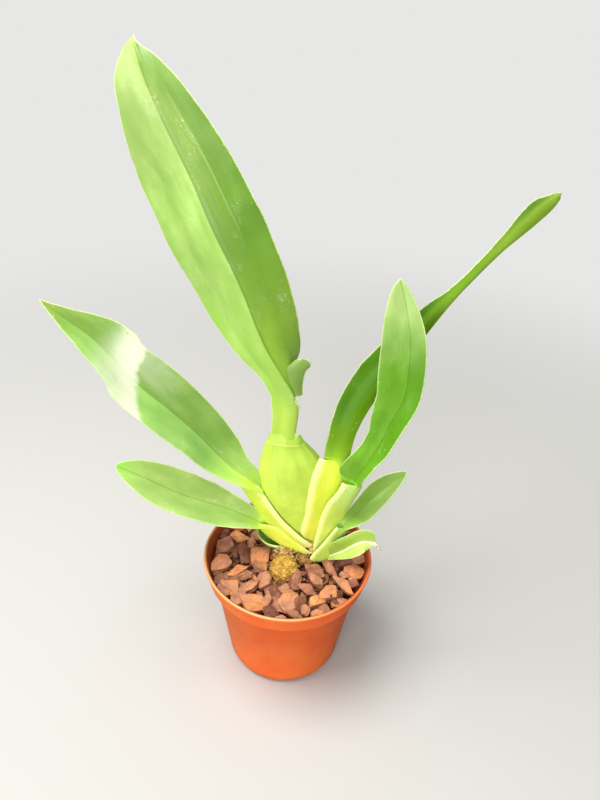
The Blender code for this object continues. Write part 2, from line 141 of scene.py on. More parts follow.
def new_material(name, **plain):
    """A material's tree, its Principled shader with plain values set, and its Object coordinates."""
    made = bpy.data.materials.new(name)
    made.use_nodes = True
    tree = made.node_tree
    shader = tree.nodes["Principled BSDF"]
    for key, value in plain.items():
        shader.inputs[key.replace("_", " ").title().replace("Ior", "IOR")].default_value = value
    return made, tree, shader, tree.nodes.new("ShaderNodeTexCoord").outputs["Object"]


def maths(tree, operation, *values):
    return add(tree, "ShaderNodeMath", dict(enumerate(values)), operation=operation).outputs[0]


def times(tree, first, *others):
    """The product of two or more values."""
    for other in others:
        first = maths(tree, "MULTIPLY", first, other)
    return first


def plus(tree, first, second):
    return maths(tree, "ADD", first, second)


def less(tree, first, second):
    return maths(tree, "SUBTRACT", first, second)


def size_of(tree, value):
    """The value without its sign."""
    return maths(tree, "ABSOLUTE", value)


def ease(tree, value, low, high, to_low=0.0, to_high=1.0):
    """The value's smooth step from low to high."""
    return add(tree, "ShaderNodeMapRange", {"Value": value, "From Min": low, "From Max": high,
               "To Min": to_low, "To Max": to_high}, interpolation_type="SMOOTHSTEP").outputs["Result"]


def mix(tree, share, low, high, way="MIX"):
    """A mixed colour. Either colour may be a six-digit sRGB code."""
    low, high = (linear(colour) if isinstance(colour, str) else colour for colour in (low, high))
    made = add(tree, "ShaderNodeMix", {0: share, 6: low, 7: high}, data_type="RGBA", blend_type=way)
    return made.outputs[2]


def noisy(tree, where, scale, detail=2.0, roughness=0.5, distortion=0.0):
    return add(tree, "ShaderNodeTexNoise", {"Vector": where, "Scale": scale, "Detail": detail,
               "Roughness": roughness, "Distortion": distortion}).outputs["Fac"]


def stretched(tree, where, x, y, z):
    return add(tree, "ShaderNodeMapping", {"Vector": where, "Scale": (x, y, z)}).outputs["Vector"]


def attribute(tree, name, output="Fac"):
    return add(tree, "ShaderNodeAttribute", attribute_name=name).outputs[output]


def joined_to(tree, shader, colour, roughness, height, strength, depth):
    """Joins a colour, a roughness and a bump of so many millimetres to the shader."""
    relief = add(tree, "ShaderNodeBump", {"Height": height, "Strength": strength, "Distance": depth * MM})
    for socket, value in (("Base Color", colour), ("Roughness", roughness), ("Normal", relief.outputs[0])):
        tree.links.new(value, shader.inputs[socket])


def shader_group(name, wanted, given):
    """An empty shader group with named inputs (type, value) and outputs, and its input and output nodes."""
    tree = bpy.data.node_groups.new(name, "ShaderNodeTree")
    for title, (kind, value) in wanted.items():
        socket = tree.interface.new_socket(title, in_out="INPUT", socket_type="NodeSocket" + kind)
        socket.default_value = value
    for title, kind in given.items():
        tree.interface.new_socket(title, in_out="OUTPUT", socket_type="NodeSocket" + kind)
    return tree, tree.nodes.new("NodeGroupInput").outputs, tree.nodes.new("NodeGroupOutput").inputs


def dust_group():
    """Pale dust and a few dark specks that lie on every surface of the plant and the pot."""
    tree, given, out = shader_group("dust", {
        "Vector": ("Vector", (0, 0, 0)), "Grain per metre": ("Float", 600.0), "Amount": ("Float", 0.5),
    }, {"Dust": "Float", "Specks": "Float"})
    for mask, finer, edge, middle, channel, share in (
        ("Dust", 1.0, 0.16, 0.08, 0, 0.12),
        ("Specks", 0.45, 0.09, 0.05, 1, 0.10),
    ):
        cells = add(tree, "ShaderNodeTexVoronoi", {"Vector": given["Vector"],
                    "Scale": times(tree, given["Grain per metre"], finer)}).outputs
        pick = add(tree, "ShaderNodeSeparateColor", {0: cells["Color"]}).outputs[channel]
        chosen = maths(tree, "LESS_THAN", pick, times(tree, given["Amount"], share))
        tree.links.new(times(tree, ease(tree, cells["Distance"], edge, middle), chosen), out[mask])
    return tree


dust = dust_group()


def dusted(tree, where, colour, grain, amount, pale, dust_share, dark=None):
    """The colour with the dust group's marks on it: pale dust, and specks if a dark colour is given."""
    marks = add(tree, "ShaderNodeGroup", {"Vector": where, "Grain per metre": grain, "Amount": amount},
                node_tree=dust).outputs
    colour = mix(tree, times(tree, marks["Dust"], dust_share), colour, pale)
    return mix(tree, times(tree, marks["Specks"], 0.7), colour, dark) if dark else colour


POT_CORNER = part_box("pot")[1] / MM
RIM, RIM_TOP = POT_CORNER.x, POT_CORNER.z
LIP = 1.5  # width of the flat top of the rim
COLLAR_END = RIM_TOP - 10
COLLAR_FOOT = 0.9  # radius of the collar's rounded lower edge
COLLAR_INSIDE = RIM - 3.8
NECK = 35.1  # radius of the wall just under the collar
FOOT = 27.9  # radius of the wall above the rounded bottom corner
CORNER = 4.7  # height of the rounded bottom corner
FOOT_RING = 20.2  # inside radius of the ring that the pot stands on
PAD = 6.8  # radius of the pad in the middle of the underside
RECESS = 1.2  # how far the underside is raised between them
WALL = 1.1
FLOOR = 2.4
HOLES = {"Hole Count": 6, "Hole Radius": 3.2 * MM, "Hole Circle": 13.5 * MM, "Hole Turn": math.radians(17)}


def arc(middle, radius, start, end, count):
    """Points of an arc from one angle to another, in degrees, about a (radius, height) middle."""
    turns = np.radians(np.linspace(start, end, count))
    return [(middle[0] + radius * math.cos(t), middle[1] + radius * math.sin(t)) for t in turns]


def pot_profile():
    """The wall's closed section from the axis under the floor, up the outside and down the inside."""
    profile = [(0.02, 0), (PAD, 0), (PAD + 0.4, 0.1), (PAD + 1.2, RECESS - 0.1), (PAD + 1.6, RECESS)]
    profile += [(FOOT_RING - 1.4, RECESS), (FOOT_RING - 1, RECESS - 0.1), (FOOT_RING - 0.4, 0.1)]
    profile += [(FOOT_RING, 0)]
    bend = CORNER - 0.1
    profile += arc((FOOT - bend, bend), bend, -90, -2, 10)
    profile += [(NECK - 0.35, COLLAR_END - 1.9), (NECK + 0.1, COLLAR_END - 1.5)]
    profile += [(NECK + 0.35, COLLAR_END - 0.6)]
    profile += arc((RIM - 3.0, COLLAR_END + COLLAR_FOOT), COLLAR_FOOT, -80, -5, 5)
    profile += [(RIM - 1.2, RIM_TOP - 2.4), (RIM - 0.9, RIM_TOP - 1.7)]
    profile += arc((RIM - 0.8, RIM_TOP - 0.8), 0.8, -40, 90, 10)
    profile += arc((RIM - LIP + 0.5, RIM_TOP - 0.6), 0.6, 90, 190, 6)
    profile += [(COLLAR_INSIDE, COLLAR_END + COLLAR_FOOT), (NECK - WALL, COLLAR_END)]
    profile += [(FOOT - WALL, CORNER + 0.3), (FOOT - 2.4, FLOOR + 0.7), (FOOT - 4.2, FLOOR), (0.02, FLOOR)]
    return profile


def give_out(tree, geometry, given, out):
    """Ends a tree with its material."""
    ended = add(tree, "GeometryNodeSetMaterial", {"Geometry": geometry, "Material": given["Material"]})
    tree.links.new(ended.outputs["Geometry"], out["Geometry"])
    return tree


def turning_tree():
    """A section swept round the axis, with holes cut through the floor on a circle."""
    tree, given, out = geometry_tree("turned_with_holes", {
        "Radius": "Float", "Segments": "Int", "Hole Count": "Int", "Hole Radius": "Float",
        "Hole Circle": "Float", "Hole Turn": "Float", "Material": "Material",
    })
    circle = add(tree, "GeometryNodeCurvePrimitiveCircle", {"Radius": given["Radius"],
                 "Resolution": given["Segments"]})
    section = add(tree, "GeometryNodeMeshToCurve", {"Mesh": given["Geometry"]})
    skin = add(tree, "GeometryNodeCurveToMesh", {"Curve": circle.outputs["Curve"],
               "Profile Curve": section.outputs["Curve"]})
    ring = add(tree, "GeometryNodeMeshCircle", {"Vertices": given["Hole Count"],
               "Radius": given["Hole Circle"]})
    turn = add(tree, "ShaderNodeCombineXYZ", {"Z": given["Hole Turn"]})
    turned = add(tree, "GeometryNodeTransform", {"Geometry": ring.outputs["Mesh"],
                 "Rotation": turn.outputs["Vector"]})
    drill = add(tree, "GeometryNodeMeshCylinder", {"Vertices": 32, "Radius": given["Hole Radius"],
                "Depth": 12 * MM})
    drills = add(tree, "GeometryNodeInstanceOnPoints", {"Points": turned.outputs["Geometry"],
                 "Instance": drill.outputs["Mesh"]})
    real = add(tree, "GeometryNodeRealizeInstances", {"Geometry": drills.outputs["Instances"]})
    joined = add(tree, "GeometryNodeMergeByDistance", {"Geometry": skin.outputs["Mesh"], "Distance": 1e-6})
    cut = add(tree, "GeometryNodeMeshBoolean", {"Mesh 1": joined.outputs["Geometry"],
              "Mesh 2": real.outputs["Geometry"]}, operation="DIFFERENCE", solver="EXACT")
    return give_out(tree, cut.outputs["Mesh"], given, out)


def pot_plastic():
    """Moulded plastic, lighter on the left as a painted highlight, with a painted shadow under the collar and
    painted shade on the collar's inner wall, tan dust and a painted highlight on the lip, and darker in
    patches towards its foot.
    """
    made, tree, shader, where = new_material("terracotta_plastic", specular_ior_level=0.45)
    x, _, z = add(tree, "ShaderNodeSeparateXYZ", {0: where}).outputs

    def rise(low, high):
        """A smooth step between two heights in millimetres."""
        return ease(tree, z, low * MM, high * MM)

    flow = noisy(tree, stretched(tree, where, 1, 1, 0.12), 330, 2)
    colour = mix(tree, ease(tree, noisy(tree, where, 55, 3), 0.3, 0.7), "FB6827", "FF7A33")
    colour = mix(tree, ease(tree, flow, 0.45, 0.75, 0, 0.25), colour, "EC622B")
    # painted highlight: the wall's left side, where the key lamp falls, is made a lighter orange
    colour = mix(tree, ease(tree, x, -0.012, -0.04, 0, 0.6), colour, "FF9446")
    shaded = times(tree, rise(COLLAR_END - 3, COLLAR_END - 0.5), rise(COLLAR_END + 0.6, COLLAR_END), 0.25)
    colour = mix(tree, shaded, colour, "C24A22")
    # tan dust on the lip's top, with a painted highlight: strongest on the lit left and front, faint on the
    # shaded right
    lip = times(tree, rise(RIM_TOP - 0.6, RIM_TOP - 0.2), ease(tree, x, 0.034, 0.004, 0.15, 0.85))
    colour = mix(tree, lip, colour, "D3A971")
    around = add(tree, "ShaderNodeVectorMath", {0: stretched(tree, where, 1, 1, 0)}, operation="LENGTH")
    flared = less(tree, around.outputs["Value"], times(tree, z, 0.3))
    between = RIM - 0.3 * RIM_TOP - 0.7  # parts the collar's inner skin from its outer one
    inner = ease(tree, flared, between * MM, (between - 0.3) * MM)
    # painted shade: the collar's inner wall, above the bark, is darkened
    inner_wall_shade = times(tree, inner, rise(COLLAR_END, COLLAR_END + 1), 0.75)
    colour = mix(tree, inner_wall_shade, colour, "8E3E20")
    # darker in patches over the lowest 6 mm of the wall
    darker_foot = times(tree, rise(6, 0.5), ease(tree, noisy(tree, where, 220, 4), 0.4, 0.7, 0, 0.5))
    colour = mix(tree, darker_foot, colour, "8A4426")
    colour = dusted(tree, where, colour, 420, 0.35, "FFC9A0", 0.5, "7A3A20")
    joined_to(tree, shader, colour, ease(tree, noisy(tree, where, 160, 4), 0.3, 0.7, 0.36, 0.5),
              noisy(tree, where, 1500, 3), 0.18, 0.1)
    return made


# A swept section is laid on its side: its first axis points away from the middle and its second down.
section = [(radius - RIM, -height, 0) for radius, height in pot_profile()]
sides = [(i, (i + 1) % len(section)) for i in range(len(section))]
pot = new_object("nursery_pot", section, sides, [])
make_with(turning_tree(), pot, HOLES | {"Radius": RIM * MM, "Segments": 160, "Material": pot_plastic()})
face_outwards(pot, 40)
finished(pot, "terracotta_plastic", "pot")


# ---------------------------------------------------------------------------------------------------------
# The deep bark: the imported chips that fill the pot under the top layer. Only dark scraps of it show between
# the chips, so the imported solid stays with a crumbled bark finish darkened by painted shade, and loose
# crumbs lie over its top.

BARK_TONES = ((0.0, "5E3A2E"), (0.25, "99634E"), (0.45, "B87E62"), (0.6, "CC8E6E"), (0.78, "DE8E5C"),
              (1.0, "EAB478"))


def bark_finish(name, depth):
    """Pine bark: each chip's tone, fibres along its length, fine layers on its sides and pale scuffs,
    darkened by `depth` with painted shade.
    """
    made, tree, shader, where = new_material(name, specular_ior_level=0.25)
    tone = attribute(tree, "tone")
    grain = attribute(tree, "grain", "Vector")
    fibres = noisy(tree, stretched(tree, grain, 0.16, 0.9, 1.2), 1.3, 4, 0.6, 0.4)
    patches = noisy(tree, where, 190, 4, 0.6)
    varied = plus(tree, tone, ease(tree, patches, 0.3, 0.7, -0.14, 0.14))
    ramp = add(tree, "ShaderNodeValToRGB", {"Fac": varied})
    stops = ramp.color_ramp.elements
    while len(stops) < len(BARK_TONES):
        stops.new(0.5)
    for stop, (place, code) in zip(stops, BARK_TONES):
        stop.position = place
        stop.color = linear(code)
    sheets = size_of(tree, add(tree, "ShaderNodeSeparateXYZ", {0: grain}).outputs[2])
    layers = add(tree, "ShaderNodeTexWave", {"Vector": stretched(tree, grain, 0.05, 0.05, 1), "Scale": 1.1,
                 "Distortion": 2.2, "Detail": 2.0, "Detail Scale": 1.4}, bands_direction="Z").outputs["Fac"]
    lines = times(tree, ease(tree, layers, 0.55, 0.15), ease(tree, sheets, 0.5, 0.2, 0, 0.65))
    colour = mix(tree, ease(tree, fibres, 0.42, 0.68, 0, 0.35), ramp.outputs["Color"], "5A382C")
    colour = mix(tree, lines, colour, "4A2A20")
    scuffs = ease(tree, noisy(tree, where, 700, 3, 0.65), 0.58, 0.72, 0, 0.35)
    colour = mix(tree, scuffs, colour, "E0B898")
    # painted shade: the deep bark, seen only in the gaps between chips, is darkened by `depth` and gets less
    # dust
    colour = mix(tree, depth, colour, "2A1710")
    colour = dusted(tree, where, colour, 900, 0.8, "EFD6BC", 0.5 * (1 - depth))
    rough = plus(tree, fibres, noisy(tree, where, 1400, 4, 0.7))
    joined_to(tree, shader, colour, ease(tree, patches, 0.3, 0.7, 0.75, 0.95),
              plus(tree, rough, layers), 0.55, 0.35)
    return made


bark = bark_finish("pine_bark", 0.0)
shaded_bark = bark_finish("shaded_bark", 0.55)


def random_vector(tree, low, high, seed):
    return add(tree, "FunctionNodeRandomValue", {0: low, 1: high, 8: seed},
               data_type="FLOAT_VECTOR").outputs[0]


def random_number(tree, low, high, seed):
    return add(tree, "FunctionNodeRandomValue", {2: low, 3: high, 8: seed}, data_type="FLOAT").outputs[1]


def scaled(tree, vector, by):
    return add(tree, "ShaderNodeVectorMath", {0: vector, "Scale": by}, operation="SCALE").outputs[0]


def stored(tree, geometry, name, value, kind, domain):
    """Geometry with a named attribute stored on its points or instances."""
    return add(tree, "GeometryNodeStoreNamedAttribute", {"Geometry": geometry, "Name": name, "Value": value},
               data_type=kind, domain=domain).outputs["Geometry"]


def crumb_tree():
    """Angular crumbs strewn over a surface, each with its own size, turn and tone."""
    tree, given, out = geometry_tree("strewn_crumbs", {
        "Spacing": "Float", "Size": "Float", "Smallest": "Vector", "Largest": "Vector",
        "Roughen": "Float", "Seed": "Int", "Material": "Material",
    })
    seed = given["Seed"]
    spots = add(tree, "GeometryNodeDistributePointsOnFaces", {"Mesh": given["Geometry"],
                "Distance Min": given["Spacing"], "Density Max": 3e6, "Seed": seed},
                distribute_method="POISSON")
    block = add(tree, "GeometryNodeMeshCube", {"Size": (1, 1, 1), "Vertices X": 3, "Vertices Y": 3,
                "Vertices Z": 2})
    local = scaled(tree, add(tree, "GeometryNodeInputPosition").outputs[0], 4.0)
    marked = stored(tree, block.outputs["Mesh"], "grain", local, "FLOAT_VECTOR", "POINT")
    any_way = random_vector(tree, (0, 0, 0), (6.3, 6.3, 6.3), seed)
    turn = add(tree, "FunctionNodeEulerToRotation", {0: any_way})
    size = scaled(tree, random_vector(tree, given["Smallest"], given["Largest"], seed), given["Size"])
    crumbs = add(tree, "GeometryNodeInstanceOnPoints", {"Points": spots.outputs["Points"],
                 "Instance": marked, "Rotation": turn.outputs[0], "Scale": size})
    toned = stored(tree, crumbs.outputs["Instances"], "tone", random_number(tree, 0.0, 0.85, seed),
                   "FLOAT", "INSTANCE")
    real = add(tree, "GeometryNodeRealizeInstances", {"Geometry": toned})
    unrest = add(tree, "ShaderNodeTexNoise", {"Scale": 420.0, "Detail": 2.0}).outputs["Color"]
    centred = add(tree, "ShaderNodeVectorMath", {0: unrest, 1: (0.5, 0.5, 0.5)}, operation="SUBTRACT")
    moved = add(tree, "GeometryNodeSetPosition", {"Geometry": real.outputs["Geometry"],
                "Offset": scaled(tree, centred.outputs[0], given["Roughen"])})
    return give_out(tree, moved.outputs["Geometry"], given, out)


crumbs_over = crumb_tree()
BED_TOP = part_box("bark_bed")[1].z / MM


def refinished(node, material):
    """A CAD solid that stays in the finished look gets its own finish."""
    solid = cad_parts[node]
    solid.data.materials.clear()
    solid.data.materials.append(material)


refinished("bark_bed", shaded_bark)


def ring_floor(name, inner, outer, height):
    """A flat ring about the axis, as the ground that crumbs are strewn over."""
    count = 48
    turns = [2 * math.pi * i / count for i in range(count)]
    points = [(r * math.cos(t), r * math.sin(t), height) for r in (inner, outer) for t in turns]
    faces = [(i, (i + 1) % count, count + (i + 1) % count, count + i) for i in range(count)]
    return new_object(name, points, [], faces)


for name, height, spacing, size, seed, paint in (
    ("deep_crumbs", BED_TOP + 1.2, 3.0, 4.6, 3, shaded_bark),
    ("bark_crumbs", BED_TOP + 3.2, 2.7, 3.4, 8, bark),
):
    crumbs = ring_floor(name, 0.5, 30.0, height)
    make_with(crumbs_over, crumbs, {
        "Spacing": spacing * MM, "Size": size * MM, "Smallest": (0.6, 0.5, 0.25),
        "Largest": (1.5, 1.0, 0.6), "Roughen": 1.6 * MM, "Seed": seed, "Material": paint,
    })
    finished(crumbs, "deep_bark" if paint is shaded_bark else "bark_chips")


# ---------------------------------------------------------------------------------------------------------
# The top layer of bark: flat, split flakes of pine bark, 5 to 17 mm long, tipped in loose so that they lie
# at all angles. Each flake is a slab of thin layers, worn round at its corners, with chipped ledges.

# Middle (x, y, z), length, width, thickness, turn, tip of its end, roll on its length (degrees), tone
FLAKES = (
    (-32.3, 14.5, 56.5, 7, 4, 3, 70, 15, 20, 0.1),
    (-24.6, 13.5, 57, 10, 6, 3, 12, -5, 28, 0.75),
    (-16, 15, 56.5, 6, 6, 4, 30, 10, 10, 0.42),
    (-31, 6.5, 57, 11, 8.5, 3, 78, 12, -14, 0.36),
    (-25, 5.3, 56, 9, 6, 2.4, 92, 5, 62, 0.2),
    (-21.2, 3.9, 56.6, 14, 7, 3.2, 98, 4, 48, 0.3),
    (-18.2, 9.6, 57, 6, 4.5, 3, 80, 8, 10, 0.42),
    (-31.4, -4.6, 57, 11, 9.5, 2.6, 62, -4, 4, 0.64),
    (-13.7, 2.2, 57.5, 12, 10.5, 3.6, 55, 8, 6, 0.74),
    (-12.6, -5.3, 57.4, 8.5, 7.5, 3, 100, -12, 8, 0.56),
    (-23, -8.8, 57.4, 11.5, 5, 1.5, 30, -8, 34, 0.8),
    (-20.4, -10.8, 56.2, 11, 5, 1.4, 33, -4, 40, 0.5),
    (-16, -17.2, 57.4, 15, 5.2, 2.6, 46, -6, -12, 0.5),
    (-10.2, -14.2, 57.2, 9.5, 7, 3.6, 70, 10, -12, 0.5),
    (-25, -18, 57.2, 11, 8, 2.6, -38, 5, 12, 0.66),
    (-32.6, -9.8, 55.8, 6, 4.5, 2.5, 80, 0, 20, 0.25),
    (-31, -14.2, 55.6, 6, 5, 2.5, 40, 8, 12, 0.3),
    (-28.4, -20.6, 56.4, 8, 5, 2.4, -40, 0, 18, 0.45),
    (-20.4, -25, 57, 8, 7, 2.6, -32, 0, 8, 0.55),
    (-13.4, -27.6, 57.6, 13, 11, 3, -12, -5, 10, 0.7),
    (-8, -25.6, 57.2, 9, 5, 2.6, 84, 6, -18, 0.54),
    (-5.6, -31.4, 57, 9, 6, 2.6, -22, 0, 38, 0.12),
    (-3.4, -27, 57.2, 12, 4.6, 1.8, -52, 4, 42, 0.4),
    (-1.6, -24.4, 56.4, 12, 4.4, 1.6, -50, 4, 40, 0.28),
    (1.9, -25.8, 57.8, 11, 9.5, 3, 65, -3, 8, 0.58),
    (6.9, -26.4, 57.4, 11, 6, 2.6, 72, 4, 56, 0.34),
    (4.2, -13.4, 57.2, 12, 5.4, 3.8, 82, 8, 30, 0.3),
    (12.2, -7.4, 57, 13, 10, 5, -35, 4, 8, 0.3),
    (13.8, -13.2, 58, 10, 4.8, 3.6, -56, 4, 10, 0.5),
    (10, -17.4, 56.8, 9, 5.4, 3, -25, 0, 22, 0.36),
    (14.3, -25, 57.8, 9, 7, 3.2, 60, -6, 14, 0.9),
    (19.6, -20, 57.2, 11, 9, 4.6, 32, 6, -6, 0.76),
    (23.2, -22.6, 57.2, 7, 6, 4.4, 60, 0, 20, 0.12),
    (20, -4.4, 57.2, 12, 4.2, 2.4, -48, -6, 18, 0.4),
    (26.8, -14.8, 57.8, 15, 5, 2.2, -50, 8, 12, 0.66),
    (31.6, -5.8, 57.2, 9.5, 8, 2.4, 15, 3, 10, 0.74),
    (27.6, 0.4, 56.8, 9, 5.4, 3.2, 22, 0, 12, 0.2),
    (33.2, 3, 57, 9, 7.4, 3.4, 35, 6, 8, 0.42),
    (27.4, -8.4, 57, 6, 5, 2.6, -10, 0, 10, 0.46),
    (31.2, -12.6, 56.6, 6, 4.4, 2.6, -30, 6, 16, 0.3),
    (24.8, -24.8, 57.6, 8, 4, 2.4, 28, 6, 16, 0.66),
    (9.2, -31, 57.8, 6.5, 4.6, 2.6, 85, 8, 10, 0.5),
    (14.4, -31.8, 58, 6, 3.6, 2.2, 12, 0, 12, 0.7),
    (4.4, -32.6, 57.6, 8, 4.2, 2, -14, 0, 14, 0.4),
    (-2, -35, 57.8, 6, 2.6, 1.6, -4, 0, 8, 0.46),
    (20.5, 1.6, 56.8, 8, 5, 3, 60, 0, 14, 0.5),
    (28.4, 20.5, 56.6, 9, 7, 3, 42, 0, -8, 0.3),
    (-6, -20, 55.6, 9, 6, 3, 15, 6, 20, 0.26),
    (-27.4, -12.6, 55.4, 9, 6, 2.4, 5, 6, 14, 0.2),
    (0.5, -18.6, 56, 9, 7, 3, -20, 4, 10, 0.56),
    (17, -29, 56.2, 8, 6, 2.6, -20, 4, 10, 0.36),
    (31.4, 9.6, 56.4, 9, 6, 3, 70, 4, 10, 0.36),
)
OUTLINE = 48  # points round a flake
# The rounded edge of a flake, from the middle of its thickness up: shares of its width and half thickness
RINGS = ((1.0, 0.0), (1.0, 0.36), (1.0, 0.7), (0.995, 0.92), (0.97, 1.0), (0.9, 1.01))

noise.seed_set(5)  # every run gets the same unevenness


def corner_cut(outline):
    """The outline with each corner cut once, which rounds it."""
    following = np.roll(outline, -1, axis=0)
    return np.stack([0.9 * outline + 0.1 * following, 0.1 * outline + 0.9 * following], 1).reshape(-1, 2)


def flake_outline(dice, length, width):
    """An uneven rounded polygon, read at evenly spaced points of its edge."""
    corners = dice.randint(4, 6)
    turns = [2 * math.pi * (i + dice.uniform(-0.26, 0.26)) / corners for i in range(corners)]
    reach = [dice.uniform(0.94, 1.3) for _ in turns]
    outline = np.array([(length / 2 * r * math.cos(t), width / 2 * r * math.sin(t))
                        for r, t in zip(reach, turns)])
    outline = corner_cut(corner_cut(outline))
    closed = np.vstack([outline, outline[:1]])
    run = np.concatenate([[0], np.cumsum(np.linalg.norm(np.diff(closed, axis=0), axis=1))])
    wanted = np.linspace(0, run[-1], OUTLINE, endpoint=False)
    return np.stack([np.interp(wanted, run, closed[:, axis]) for axis in range(2)], 1)


def held_in(point):
    """The point, pulled inwards if it lies nearer to the inside of the pot's wall than 0.4 mm."""
    room = np.interp(point.z, (CORNER, COLLAR_END, COLLAR_END + COLLAR_FOOT, RIM_TOP - 0.7),
                     (FOOT - WALL, NECK - WALL, COLLAR_INSIDE, RIM - LIP)) - 0.4
    pull = min(1, room / max(math.hypot(point.x, point.y), 0.01))
    return Vector((point.x * pull, point.y * pull, point.z))


def skin_faces(rings, count):
    """The faces of a closed skin: a pole, so many rings of `count` points, and the other pole."""
    faces = [(0, 1 + (i + 1) % count, 1 + i) for i in range(count)]
    for ring in range(rings - 1):
        first = 1 + ring * count
        for i in range(count):
            j = (i + 1) % count
            faces.append((first + i, first + j, first + count + j, first + count + i))
    last = 1 + (rings - 1) * count
    return faces + [(last + i, last + (i + 1) % count, last + count) for i in range(count)]


def carries(obj, name, kind, values):
    """Stores a named attribute on the points of a piece."""
    field = "vector" if kind == "FLOAT_VECTOR" else "value"
    obj.data.attributes.new(name, kind, "POINT").data.foreach_set(field, np.ravel(values))


def weathered(points, dice, drift, width, thick):
    """Breaks chips off a flake's upper side, splits its layers and warps it."""
    curl = dice.uniform(-0.012, 0.02)
    breaks = [(dice.uniform(0, 6.28), dice.uniform(0.08, 0.32) * width, dice.uniform(0.25, 0.8))
              for _ in range(3)]
    for point in points:
        if point.z > 0:
            for way, start, slope in breaks:
                over = point.x * math.cos(way) + point.y * math.sin(way) - start
                point.z -= min(max(0, over) * slope, 0.75 * thick) * point.z / thick
        ledge = 0.34 * round(2.2 * noise.noise(point * 0.2 + drift)) * (thick / 4)
        side = math.copysign(1, point.z) if abs(point.z) > thick * 0.3 else 0
        pull = 1 + 0.075 * noise.noise(Vector((point.x * 0.1, point.y * 0.1, point.z * 2.6)) + drift)
        point.x *= pull
        point.y *= pull
        point.z += ledge * side + curl * point.y * point.y
        coarse, fine = (noise.noise_vector(point * size + drift) for size in (0.42, 1.6))
        point += 0.26 * coarse + 0.14 * fine


def flake(name, dice, row):
    """One flake of bark, as a mesh at its place with its tone and its own grain coordinates."""
    x, y, z, length, width, thick, turn, tip, roll, tone = row
    outline = flake_outline(dice, length, width)
    drift = Vector([dice.uniform(-50, 50) for _ in range(3)])
    levels = [(share, 1) for share in (0.3, 0.58, 0.8)] + list(reversed(RINGS))
    levels += [(share, -height) for share, height in RINGS[1:]] + [(share, -1) for share in (0.8, 0.5, 0.2)]
    points = [Vector((0, 0, thick / 2))]
    for share, height in levels:
        points += [Vector((px, py, thick / 2 * height)) for px, py in outline * share]
    points.append(Vector((0, 0, -thick / 2)))
    grain = [point.copy() for point in points]
    weathered(points, dice, drift, width, thick)
    lean = Euler((math.radians(roll), math.radians(-tip), math.radians(turn)))
    placed = Matrix.Translation((x, y, z)) @ lean.to_matrix().to_4x4()
    made = new_object(name, [held_in(placed @ point) for point in points], [],
                      skin_faces(len(levels), OUTLINE))
    carries(made, "tone", "FLOAT", [tone] * len(points))
    carries(made, "grain", "FLOAT_VECTOR", grain)
    return painted(made, bark, 38)


dice = random.Random(5)
flakes = [flake(f"bark_flake_{i:02d}", dice, row) for i, row in enumerate(FLAKES, 1)]
stands_for = {piece.name: [] for piece in flakes}
REACH = 7.5  # how far a flake's middle may lie from the middle of a packed chip that it stands for
for node in sorted(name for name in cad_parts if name.startswith("bark_chip")):
    low, high = (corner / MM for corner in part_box(node))
    middle = (low + high) / 2
    gaps = [math.dist(middle[:2], row[:2]) for row in FLAKES]
    if min(gaps) < REACH:
        stands_for[flakes[gaps.index(min(gaps))].name].append(node)
        continue
    size = high - low
    row = (middle.x, middle.y, high.z - 1.8, size.x * 0.95, size.y * 0.95, 3.0, dice.uniform(-20, 20),
           dice.uniform(-10, 10), dice.uniform(-14, 14), dice.uniform(0.2, 0.8))
    piece = flake(node.replace("chip", "flake_back"), dice, row)
    flakes.append(piece)
    stands_for[piece.name] = [node]
for piece in flakes:
    finished(piece, "bark_chips", *stands_for[piece.name])


# ---------------------------------------------------------------------------------------------------------
# The starter plug: the yellow, crumbly foam-and-peat plug that the seedling was raised in. Its domed top
# stands out of the bark in front of the plant. It is one porous lump, with crumbs breaking off its skin.

def plug_foam():
    made, tree, shader, where = new_material("plug_foam", specular_ior_level=0.2)
    clumps = noisy(tree, where, 420, 4, 0.7)
    pores = noisy(tree, where, 1300, 3, 0.6)
    colour = mix(tree, ease(tree, clumps, 0.35, 0.65), "BC9240", "E8BE60")
    colour = mix(tree, ease(tree, pores, 0.6, 0.75, 0, 0.75), colour, "FFE08C")
    colour = mix(tree, ease(tree, pores, 0.42, 0.3, 0, 0.9), colour, "6B4818")
    joined_to(tree, shader, colour, ease(tree, pores, 0.3, 0.7, 0.8, 0.98),
              plus(tree, clumps, pores), 0.9, 0.7)
    return made


def lumpy_turned(name, profile, middle, count, lumps, seed):
    """A turned shape with closed poles, pushed out and in by noise; `lumps` are (size, depth) pairs."""
    drift = Vector((seed * 7.3, seed * 3.1, seed * 5.7))
    points = [Vector((0, 0, profile[0][1]))]
    for radius, height in profile[1:-1]:
        for i in range(count):
            turn = 2 * math.pi * i / count
            points.append(Vector((radius * math.cos(turn), radius * math.sin(turn), height)))
    points.append(Vector((0, 0, profile[-1][1])))
    for point in points:
        for size, depth in lumps:
            point += depth * noise.noise_vector(point / size + drift)
    faces = skin_faces(len(profile) - 2, count)
    return new_object(name, [point + Vector(middle) for point in points], [], faces)


